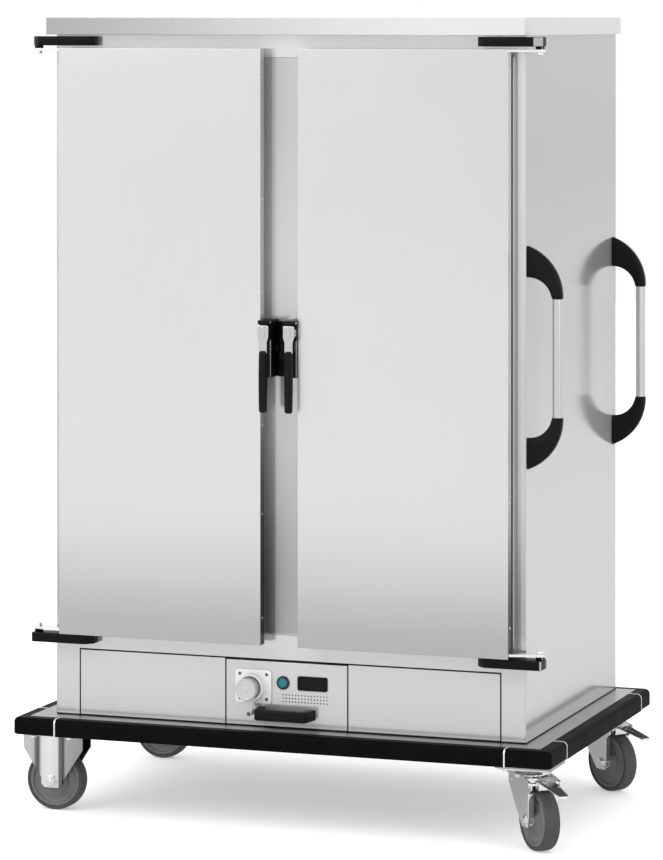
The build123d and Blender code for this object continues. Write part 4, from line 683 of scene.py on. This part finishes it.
def pale_floor():
    """A wide floor under the castors, nearly white, greyer in what mirrors it, and glowing a little so that
    its shadow stays light and it lights the cabinet from below.
    """
    material, tree, shader = new_material("studio_floor")
    in_mirror = tree.add("ShaderNodeLightPath").outputs["Is Glossy Ray"]
    # The floor's emission makes it glow: it lifts the cast shadow and lights the underside of the cabinet
    for socket, plain, mirrored_level in (("Base Color", 0.84, 0.56), ("Emission Color", 0.35, 0.2)):
        tree.link(tree.between(in_mirror, plain, mirrored_level), shader.inputs[socket])
    shader.inputs["Emission Strength"].default_value = 1.0
    shader.inputs["Roughness"].default_value = 0.9
    shader.inputs["Specular IOR Level"].default_value = 0.1
    half = 14.0
    corners = [(-half, -half, 0), (half, -half, 0), (half, half, 0), (-half, half, 0)]
    mesh = bpy.data.meshes.new("floor")
    mesh.from_pydata(corners, [], [(0, 1, 2, 3)])
    floor = bpy.data.objects.new("floor", mesh)
    mesh.materials.append(material)
    bpy.context.scene.collection.objects.link(floor)


class CABINET_OT_finishes(bpy.types.Operator):
    """Give every carried-over node its finish"""

    bl_idname = "cabinet.finishes"
    bl_label = "Finishes"

    def execute(self, context):
        build_materials(context.scene.cabinet_finish)
        for part in frame["record"]["subparts"]:
            mesh = NODES[part["node"]].data
            mesh.materials.clear()
            mesh.materials.append(FINISHES[part["material_slot"]])
        return {"FINISHED"}


class CABINET_OT_gaskets(bpy.types.Operator):
    """Run a bulb gasket round the inside of each door, with a pale lip that covers the gap's shade as painted
    light, and a black root beside it as a painted shadow line
    """

    bl_idname = "cabinet.gaskets"
    bl_label = "Gaskets"

    def execute(self, context):
        half = [
            (6.9, 0.1), (6.9, 1.4), (4.6, 2.2), (3.0, 3.4), (3.2, 4.2), (5.6, 5.6), (6.4, 8.0), (6.0, 10.6),
            (5.0, 12.6), (3.2, 13.5),
        ]
        section = half + [(-across, out) for across, out in reversed(half)]
        seat, margin, reach, low, high = -349.0, 12, 7, 390, 1565
        outer = rounded_rectangle(DOOR_WIDTH - margin, DOOR_HEIGHT - margin, 15, 6)
        rings = [
            upright_ring(inset(outer, reach - across), seat + out, DOOR_CENTRE) for across, out in section
        ]
        both_sides("gasket", [joined(rings)], "gasket_rubber", "door_{side}", ["door_gasket"])
        # A pale strip stands for the lit stile over the gap's shade, and a black strip draws the gap's shadow
        # line
        for name, deep, middle, slot in (
            ("gasket_lip_painted_light", 7.6, -339.6, "cap_plastic"), ("gasket_root_painted_shadow", 5.0, -346.4, "latch_plastic")
        ):
            strip = padded(rounded_rectangle(5.2, deep, 1.0, 3), low, high, 0.8, 2)
            strip = placed(strip, (DOOR_OUT - 3, middle, 0), RIGHT, BACK, UP)
            both_sides(name, [strip], slot, "door_{side}")
        return {"FINISHED"}


class CABINET_OT_door_trim(bpy.types.Operator):
    """Rivet the door edges and mark the joint between skin and inner pan"""

    bl_idname = "cabinet.door_trim"
    bl_label = "Door trim"

    def execute(self, context):
        rivets, rivet_y = [], -367
        for x, way, heights in (
            (DOOR_OUT, RIGHT, (1525, 1181, 932, 684, 436)), (DOOR_IN, LEFT, (1523, 1276, 1090, 820, 640, 430))
        ):
            rivets += [dome((x, rivet_y, z), way, 2.6, 1.0) for z in heights]
        both_sides("door_rivets", rivets, "clip_steel", "door_{side}")
        outline = rounded_rectangle(DOOR_WIDTH, DOOR_HEIGHT, 0.6, 2)
        sunk, proud, near, far = 0.3, -0.12, -357.8, -356.8
        section = ((sunk, near), (proud, near), (proud, far), (sunk, far))
        rings = [upright_ring(inset(outline, amount), depth, DOOR_CENTRE) for amount, depth in section]
        both_sides("door_joint", [joined(rings)], "latch_plastic", "door_{side}")
        return {"FINISHED"}


class CABINET_OT_hinges(bpy.types.Operator):
    """Mould the hinge bars and turn their rings, pins, nuts and screw caps"""

    bl_idname = "cabinet.hinges"
    bl_label = "Hinges"
    face = -373.0

    def execute(self, context):
        bars, pins, caps = [], [], []
        # Bottom of the bar, far side of the door's arm, outer chamfer, and the way its pin goes
        for low, far, chamfer, way in ((1585.5, 1574.2, 16.0, -1), (355.5, 385.9, 4.0, 1)):
            high = low + 19
            ring = (low - 5.5, low) if way < 0 else (high, high + 5.6)
            bars += self.bar(low, high, chamfer, ring)
            pins += self.pin(high if way < 0 else low, far, way)
            caps += [dome((x, self.face, low + 9.5), FORTH, 4, 1.2, 20) for x in (442.7, 480.5)]
        shells = bars + caps
        build("hinge_bars_moulded", shells + mirrored(shells), "hinge_plastic", "cabinet", ["hinge_bars"])
        build("hinge_pins_turned", pins + mirrored(pins), "hinge_steel", "cabinet")
        return {"FINISHED"}

    def bar(self, low, high, chamfer, ring):
        """A bar cut back at its two front corners, and the ring round its pin."""
        inner, outer, face, slope = 413.0, 548.0, self.face, 16
        plan = softened([
            (inner, FRONT), (inner, face + slope), (inner + slope, face), (outer - chamfer, face),
            (outer, face + chamfer), (outer, FRONT),
        ], 1.5, 3)
        start, end = ring
        profile = [(5.1, start), (8.2, start), (9, start + 0.8), (9, end - 0.8), (8.2, end), (5.1, end)]
        return [capped(padded(plan, low, high, 1.6)), turned(profile, PIVOT, UP, 40)]

    def pin(self, inner, far, way):
        """A pin with chamfered ends that stands past the door's arm, and the nut round it."""
        start, end = sorted((inner, far + way * 6))
        profile = [(0, start), (4.4, start), (5, start + 0.6), (5, end - 0.6), (4.4, end), (0, end)]
        angles = np.linspace(0, 2 * pi, 6, endpoint=False)
        hexagon = softened(7 * np.column_stack([np.cos(angles), np.sin(angles)]), 0.6, 2)
        nut = padded(hexagon, *sorted((far, far + way * 5.2)), 0.8)
        return [turned(profile, PIVOT, UP, 32), placed(nut, PIVOT, RIGHT, BACK, UP)]


class CABINET_OT_latches(bpy.types.Operator):
    """Press the chrome levers, mould the grips, cut the bolts and dress the housings"""

    bl_idname = "cabinet.latches"
    bl_label = "Latches"

    def execute(self, context):
        self.lever()
        self.grip()
        bolt = softened([(7, -346), (7, -352), (11, -356), (30, -356), (30, -346)], 0.8, 3)
        bolt = capped(padded(bolt, 968, 982, 1.0))
        both_sides("bolt_shaped", [bolt], "latch_plastic", "bolt_{side}", ["latch_bolt"])
        pins = [dome((x, -388, 1029), way, 2.6, 1.0) for x, way in ((15, LEFT), (40, RIGHT))]
        both_sides("latch_cap_pins", pins, "latch_chrome", "door_{side}")
        strip = padded(rounded_rectangle(3.4, 74, 0.8, 2), -0.2, 0.7, 0.3, 2)
        for side, x in (("left", -17.2), ("right", 37.8)):
            build(f"latch_strip_{side}", [placed(strip, (x, -384, 956))], "latch_chrome", f"door_{side}")
        plate = padded(rounded_rectangle(38, 112, 3, 4), 0.02, 5.4, 1.2)
        build("keeper_plate", [placed(plate, (0, FRONT, 972))], "latch_plastic", "cabinet")
        return {"FINISHED"}

    def lever(self):
        """A plate that narrows to the grip, and a rounded ear each side that turns on the pin."""
        half = [(11.75, 1023), (11.75, 1000), (8.5, 990), (8.5, 968), (4.5, 966), (4.5, 864)]
        outline = [(LATCH_X + x, z) for x, z in half] + [(LATCH_X - x, z) for x, z in reversed(half)]
        plate = padded(softened(outline, 2.4, 4), -399, -396.5, 0.8)
        bead = padded(rounded_rectangle(9, 24, 4.4, 5), 399.0, 400.2, 0.8)
        shells = [placed(plate, (0, 0, 0), RIGHT, UP, BACK), placed(bead, (LATCH_X, 0, 1009))]
        y, z, reach, back, thick = -392, 1009, 7.5, -398.0, 2.5
        eye = [(y + reach * cos(a), z + reach * sin(a)) for a in np.linspace(-pi / 2, pi / 2, 12)]
        ear = np.array([(back, z - reach), *eye, (back, z + reach)])
        for x in (LATCH_X - 11.75, LATCH_X + 11.75 - thick):
            shells.append(placed(padded(ear, x, x + thick, 0.5, 3), (0, 0, 0), BACK, UP, RIGHT))
        both_sides("lever_pressed", shells, "latch_chrome", "latch_{side}", ["latch_lever"])

    def grip(self):
        """A rounded bar, half its depth 6.3 + 0.7 sin(pi t) along its length, drawn in at both ends."""
        low, tall, middle = 848, 124, -397.75
        loops = []
        for t in np.linspace(0, 1, 41):
            from_end = min(t, 1 - t) * tall
            close = np.sqrt(max(0.0, 1 - (1 - min(from_end / 2.5, 1)) ** 2))
            half = (6.3 + 0.7 * sin(pi * t)) * (0.7 + 0.3 * close)
            ring = squircle(half * 1.2, half, 24, 3.4) + (LATCH_X, middle)
            loops.append(level_ring(ring, low + tall * t))
        both_sides("grip_moulded", [capped(loops)], "latch_plastic", "latch_{side}", ["latch_grip"])


class CABINET_OT_handles(bpy.types.Operator):
    """Sweep the four black horns of the push handles from their tall feet to the tubes"""

    bl_idname = "cabinet.handles"
    bl_label = "Push handles"

    def execute(self, context):
        # Foot on the side panel, bend, and end at the tube, seen from the front
        outer = arc_through((506, 222), (553.5, 189.4), (578, 120), 33)[:, None]
        inner = arc_through((506, 159), (539, 148.1), (556, 120), 33)[:, None]
        ring = squircle(1, 11, 32, 3.4)
        flat = (outer + inner) / 2 + ring[:, :1] * (outer - inner) / 2
        shells, collars = [], []
        for y, z in ((-322, 968), (312, 952)):
            for way in (1, -1):
                across = np.broadcast_to(y + ring[:, 1], flat.shape[:2])
                shells.append(capped(np.stack([flat[..., 0], across, z + way * flat[..., 1]], axis=-1)))
                low, high = sorted((z + way * 117.4, z + way * 120.4))
                collar = [(10.02, low), (10.7, low), (10.9, low + 0.6), (10.9, high), (10.02, high)]
                collars.append(turned(collar, (567, y, 0), UP, 40))
        build("horns_moulded", shells, "handle_plastic", "cabinet", ["handle_brackets"])
        build("tube_collars", collars, "handle_plastic", "cabinet")
        return {"FINISHED"}


class CABINET_OT_wheels(bpy.types.Operator):
    """Turn the tyres with a raised ring in each side wall, and the hubs with bearing shields"""

    bl_idname = "cabinet.wheels"
    bl_label = "Wheels"

    def execute(self, context):
        # Radius, and distance from the wheel's middle
        tyre = [
            (54.6, 14.0), (55.2, 15.2), (56.2, 15.9), (56.9, 15.4), (57.5, 15.4), (58.2, 16.1), (59.2, 16.5),
            (60.4, 15.8), (61.5, 14.0), (62.2, 11.0), (62.45, 6.0), (62.5, 2.0),
        ]
        hub = [
            (6.2, 19.4), (7.0, 20.0), (13.6, 20.0), (15.0, 18.8), (16.2, 16.4), (19.0, 12.2), (24.0, 9.8),
            (30.0, 9.5), (31.0, 10.6), (33.0, 10.6), (34.0, 9.5), (44.0, 9.5), (47.4, 10.8), (48.6, 13.6),
            (49.4, 14.5), (54.0, 14.5), (54.5, 14.0),
        ]
        shield = [(9.6, 19.6), (9.6, 20.3), (10.2, 20.45), (12.8, 20.45), (13.4, 20.1), (13.4, 19.6)]
        for name in ("front_left", "rear_left", "front_right", "rear_right"):
            low, high = (np.array(corner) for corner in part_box(f"tyre_{name}"))
            centre = (low + high) / 2 / MM
            axis = np.array(MOVES[f"wheel_{name}_roll"]["axis"])
            body = f"wheel_{name}"
            for node, half, slot in (("tyre", tyre, "tyre_rubber"), ("hub", hub, "hub_plastic")):
                profile = half + [(radius, -out) for radius, out in reversed(half)]
                ring = turned(profile, centre, axis, 96)
                build(f"{node}_turned_{name}", [ring], slot, body, [f"{node}_{name}"])
            shells = [turned(shield, centre, axis * way, 40) for way in (1, -1)]
            build(f"shields_{name}", shells, "zinc_plate", body)
        return {"FINISHED"}


class CABINET_OT_castors(bpy.types.Operator):
    """Add the rolled race lips, seals, rivets, washers and lock nuts of the castors"""

    bl_idname = "cabinet.castors"
    bl_label = "Castor details"

    def execute(self, context):
        lip = [
            (30.5, 143.6), (37.6, 143.2), (38.4, 144.4), (38.2, 146.8), (37.0, 148.2), (34.0, 148.9),
            (31.2, 148.4), (30.5, 147.4),
        ]
        seal = [(28.9, 149.6), (30.4, 149.9), (31.0, 151.0), (30.6, 153.4), (28.9, 154.6)]
        axle, half_fork = 62.5, 33
        for name in SWIVELS:
            centre, along, across = fork_place(name, f"wheel_{name}_roll")
            body = f"swivel_{name}"
            build(f"race_lip_{name}", [turned(lip, centre, UP, 64)], "zinc_plate", body)
            build(f"race_seal_{name}", [turned(seal, centre, UP, 64)], "gasket_rubber", "cabinet")
            shells = []
            for way in (1, -1):
                side = centre + across * way * half_fork
                shells.append(dome(side + along * 62 + (0, 0, 134), across * way, 5.6, 2.2, 24))
                shells.append(dome(side + along * -18 + (0, 0, 132), across * way, 3.0, 1.2, 20))
                shells.append(washer(side + along * 42 + (0, 0, axle), across * way, 11.0, 1.0))
            build(f"fork_rivets_{name}", shells, "zinc_plate", body)
        shells = []
        for x, y in ((-518, -305), (-518, 286)):
            for way in (1, -1):
                shells.append(washer((x, y + way * 31, axle), (0, way, 0), 11.6, 1.2))
                shells.append(dome((x, y + way * 35.6, axle), (0, way, 0), 5.2, 2.4, 24))
        build("axle_washers", shells, "zinc_plate", "cabinet")
        return {"FINISHED"}


class CABINET_OT_pedals(bpy.types.Operator):
    """Press the brake pedals with turned-down edges, a rubber tread and a brake block"""

    bl_idname = "cabinet.pedals"
    bl_label = "Brake pedals"

    def execute(self, context):
        # Way along the pedal, half width, top and thickness
        stations = (
            (53.2, 15.5, 140.6, 2.2), (54.4, 16.6, 141.3, 3.4), (60, 17, 141.5, 4.4), (76, 17, 141.4, 4.4),
            (84, 16.4, 140.2, 4.0), (100, 15.0, 136.9, 3.6), (120, 13.4, 132.9, 3.5), (140, 12.0, 128.8, 3.5),
            (150, 11.0, 126.7, 3.4), (153.6, 9.6, 125.7, 3.0), (154.9, 7.4, 125.2, 2.2),
        )
        block = softened([(54.2, 139), (54.2, 133), (57, 125.4), (70.4, 121.6), (72.4, 139)], 1.6, 4)
        slope = -0.2035
        for name in SWIVELS:
            centre, along, across = fork_place(name, f"pedal_{name}_press")
            body = f"pedal_{name}"
            loops = []
            for u, half, top, thick in stations:
                ring = squircle(half, thick / 2, 32, 4.2) + (0, top - thick / 2)
                loops.append(np.column_stack([np.full(len(ring), u), ring]))
            plate = placed(np.array(loops), centre, along, across, UP)
            shoe = placed(padded(block, -15.5, 15.5, 1.2), centre, along, UP, across)
            build(f"pedal_pressed_{name}", [plate, shoe], "zinc_plate", body, [f"brake_pedal_{name}"])
            ribs = []
            for k in range(7):
                run = k * 5.6
                top = 133.9 + slope * run
                rib = rounded_rectangle(3.6, 24.4 - 0.7 * k, 1.5, 3)
                rib = padded(rib, top, top + 1.4, 0.5, 2)
                ribs.append(placed(rib, centre + along * (114 + run), along, across, UP))
            build(f"pedal_tread_{name}", ribs, "tyre_rubber", body)
        return {"FINISHED"}


class CABINET_OT_inlet(bpy.types.Operator):
    """Mould the power inlet's flange, shroud and cover, with its pins and screws"""

    bl_idname = "cabinet.inlet"
    bl_label = "Power inlet"

    def execute(self, context):
        x, z = -70.5, 285.0
        centre, post_at = (x, FRONT, z), (-71, FRONT, 233)
        flange = placed(padded(rounded_rectangle(78, 69, 6, 5), 0, 4, 1.2), centre)
        shroud = [
            (0, -28), (22.9, -28), (23, 23.2), (23.6, 24), (26.3, 24), (27, 23.3), (27, 21.2), (26.4, 20.6),
            (26.4, 17.4), (27, 16.8), (27, 14.6), (26.4, 14), (26.4, 10.8), (27, 10.2), (27, 5.4), (29, 4),
            (29, 3), (26.9, 2.8), (26.9, -34), (0, -34),
        ]
        post = [(0, -1), (5, -1), (5, 24.2), (4.5, 24.7), (2.1, 24.7), (2.0, 30.6), (0, 30.6)]
        shells = [flange, turned(shroud, centre, FORTH, 72), turned(post, post_at, FORTH, 32)]
        build("inlet_moulded", shells, "inlet_plastic", "drawer", ["inlet_housing"])
        tip = [(0, -30), (2.5, -30), (2.5, 8.6), (2.2, 9.5), (1.4, 9.9), (0, 10)]
        pins = []
        for angle in (radians(turn) for turn in (90, 210, 330)):
            pins.append(turned(tip, (x + 9 * cos(angle), FRONT, z + 9 * sin(angle)), FORTH, 20))
        build("inlet_pins", pins, "hinge_steel", "drawer")
        head = [(0, -0.5), (3.4, -0.5), (3.4, 0.3), (2.9, 0.9), (1.6, 1.15), (1.2, 0.5), (0, 0.4)]
        screws = [
            turned(head, (x + across, FRONT - 4, z + up), FORTH, 20)
            for across in (-29, 29) for up in (-25, 25)
        ]
        head = [(0, 29.35), (3.9, 29.35), (3.9, 30.2), (3.2, 31.1), (1.5, 31.35), (1.2, 30.7), (0, 30.6)]
        screws.append(turned(head, post_at, FORTH, 24))
        build("inlet_screws", screws, "motor_metal", "drawer")
        self.cover(x, z)
        return {"FINISHED"}

    def cover(self, x, z):
        """A hollow turned cap with a raised rim and boss, and a flat arm that narrows to its screw."""
        cap = [
            (0, 47), (18.9, 47), (19, 25.1), (21.9, 25.1), (22, 47.4), (21.4, 49.2), (20.2, 50), (19.0, 49.6),
            (18.2, 48.6), (14.0, 48.3), (13.4, 48.9), (11.8, 48.9), (11.2, 48.3), (6.4, 48.3), (5.4, 49.4),
            (3.0, 49.9), (0, 49.9),
        ]
        arm = softened([
            (x - 13, z - 16.5), (x - 13, z - 20), (-76.2, 231), (-71, 227.9), (-65.8, 231), (x + 13, z - 20),
            (x + 13, z - 16.5),
        ], 3.0, 4)
        arm = placed(padded(arm, 25.1, 29, 0.9), (0, FRONT, 0))
        shells = [turned(cap, (x, FRONT, z), FORTH, 72), arm]
        build("inlet_cover_moulded", shells, "cap_plastic", "inlet_cover", ["inlet_cap"])


class CABINET_OT_controls(bpy.types.Operator):
    """Turn the domed button and its bezel, and glaze the display"""

    bl_idname = "cabinet.controls"
    bl_label = "Button and display"

    def execute(self, context):
        lens = [(0, -12), (9.9, -12), (10, 3.2), (9.6, 4.2), (8.6, 4.8), (6.5, 5.2), (3.5, 5.42), (0, 5.5)]
        bezel = [
            (0, -22.5), (10.3, -22.5), (10.3, 2.4), (10.8, 3), (12.4, 3), (13.5, 2.5), (14, 1.4), (14, 0.05),
            (11.5, 0), (11.5, -24), (0, -24),
        ]
        button = (-7.0, FRONT, 295.0)
        for name, profile, slot, body, node in (
            ("button_domed", lens, "button_lens", "button", "power_button"),
            ("bezel_turned", bezel, "control_plastic", "drawer", "button_bezel"),
        ):
            build(name, [turned(profile, button, FORTH, 48)], slot, body, [node])
        pane = padded(rounded_rectangle(55.4, 20.4, 1.2, 3), 1.4, 2.1, 0.3, 2)
        build("display_glass", [placed(pane, (56.5, FRONT, 296))], "display_black", "drawer")
        return {"FINISHED"}


class CABINET_OT_seams(bpy.types.Operator):
    """Seal the body to its base and the panels to the frame, draw the joints of the front frame, and lay
    bright strips down its outer corners as painted highlights
    """

    bl_idname = "cabinet.seams"
    bl_label = "Seams"

    def execute(self, context):
        width, depth = 1012, 670
        outline = rounded_rectangle(width, depth, 0.8, 2)
        section = ((-0.6, 203.05), (0.7, 203.05), (0.7, 204.4), (0.2, 205.6), (-0.6, 205.6))
        rings = [level_ring(inset(outline, -grow), z) for grow, z in section]
        joints = [self.line(0, z, 109, 0.9) for z in (1561.5, 392.5)]
        build("seams", [joined(rings), *joints], "latch_plastic", "cabinet")
        # Bright chrome strips down the front corners stand for the highlight on their rounded edges
        corners = [self.line(x, 906.5, 1.4, 1401) for x in (-504.8, 504.8)]
        build("frame_corner_highlights", corners, "latch_chrome", "cabinet")
        self.seals()
        return {"FINISHED"}

    def seals(self):
        """Black lips in the gaps round the drawer front and the fixed panels, and a pad behind the vents."""
        fascia = self.lip((-130, 130), (206, 336.5), (-131.3, 131.3), (204.4, 340.4))
        pad = padded(rounded_rectangle(102, 21, 2, 3), 1.7, 2.4, 0.2, 2)
        vent = placed(pad, (39.8, FRONT, 264), RIGHT, UP, BACK)
        build("drawer_seal", [fascia, vent], "latch_plastic", "drawer")
        panel = self.lip((133, 452), (206, 338.5), (132.6, 454.6), (205.6, 341.1))
        build("panel_seals", [panel, *mirrored([panel])], "latch_plastic", "cabinet")

    def lip(self, xs, zs, outer_xs, outer_zs):
        """A flat frame between two rectangles, three to six millimetres behind the front."""
        xs, zs = ((low + 0.5, high - 0.5) for low, high in (xs, zs))
        rings = []
        for (x0, x1), (z0, z1), depth in (
            (xs, zs, 3.0), (outer_xs, outer_zs, 3.4), (outer_xs, outer_zs, 6.0), (xs, zs, 6.4)
        ):
            corners = softened([(x0, z0), (x1, z0), (x1, z1), (x0, z1)], 0.8, 2)
            rings.append(upright_ring(corners, FRONT + depth))
        return joined(rings)

    def line(self, x, z, width, height):
        """A thin filled joint on the frame's front face."""
        loops = padded(rounded_rectangle(width, height, 0.3, 1), -0.2, 0.12, 0.05, 1)
        return placed(loops, (x, FRONT, z))


class CABINET_OT_stage(bpy.types.Operator):
    """Build the studio, the lamps and the camera"""

    bl_idname = "cabinet.stage"
    bl_label = "Stage"

    def execute(self, context):
        scene = context.scene
        view = scene.cabinet_view
        scene.view_settings.view_transform = "Standard"
        studio_world(view.sky)
        pale_floor()
        soft_lamp("key", (-3.2, -4.2, 4.2), 4.0, view.key)
        soft_lamp("fill", (4.5, -3.0, 2.5), 3.0, view.fill)
        camera = bpy.data.cameras.new("camera")
        camera.lens = view.lens
        camera.sensor_width = 36.0
        camera.shift_y = (view.horizon_row - view.frame_height / 2) / view.frame_height
        camera.clip_end = 100.0
        holder = bpy.data.objects.new("camera", camera)
        holder.location = view.eye
        holder.rotation_euler = (pi / 2, 0, view.turn)
        scene.collection.objects.link(holder)
        scene.camera = holder
        return {"FINISHED"}


class CABINET_PT_panel(bpy.types.Panel):
    """The cabinet's steps, in the 3D view's sidebar"""

    bl_label = "Heated Cabinet"
    bl_idname = "CABINET_PT_panel"
    bl_space_type = "VIEW_3D"
    bl_region_type = "UI"
    bl_category = "Cabinet"

    def draw(self, context):
        for step in STEPS:
            self.layout.operator(step.bl_idname)


STEPS = (
    CABINET_OT_finishes, CABINET_OT_gaskets, CABINET_OT_door_trim, CABINET_OT_hinges, CABINET_OT_latches,
    CABINET_OT_handles, CABINET_OT_wheels, CABINET_OT_castors, CABINET_OT_pedals, CABINET_OT_inlet,
    CABINET_OT_controls, CABINET_OT_seams, CABINET_OT_stage,
)
CLASSES = (CabinetFinish, CabinetView, *STEPS, CABINET_PT_panel)


def register():
    for cls in CLASSES:
        bpy.utils.register_class(cls)
    bpy.types.Scene.cabinet_finish = bpy.props.PointerProperty(type=CabinetFinish)
    bpy.types.Scene.cabinet_view = bpy.props.PointerProperty(type=CabinetView)


def unregister():
    del bpy.types.Scene.cabinet_view
    del bpy.types.Scene.cabinet_finish
    for cls in reversed(CLASSES):
        bpy.utils.unregister_class(cls)


def main():
    """Runs every step in order and keeps the two boxes."""
    register()
    for step in STEPS:
        group, name = step.bl_idname.split(".")
        getattr(getattr(bpy.ops, group), name)()


if __name__ == "__main__":
    main()
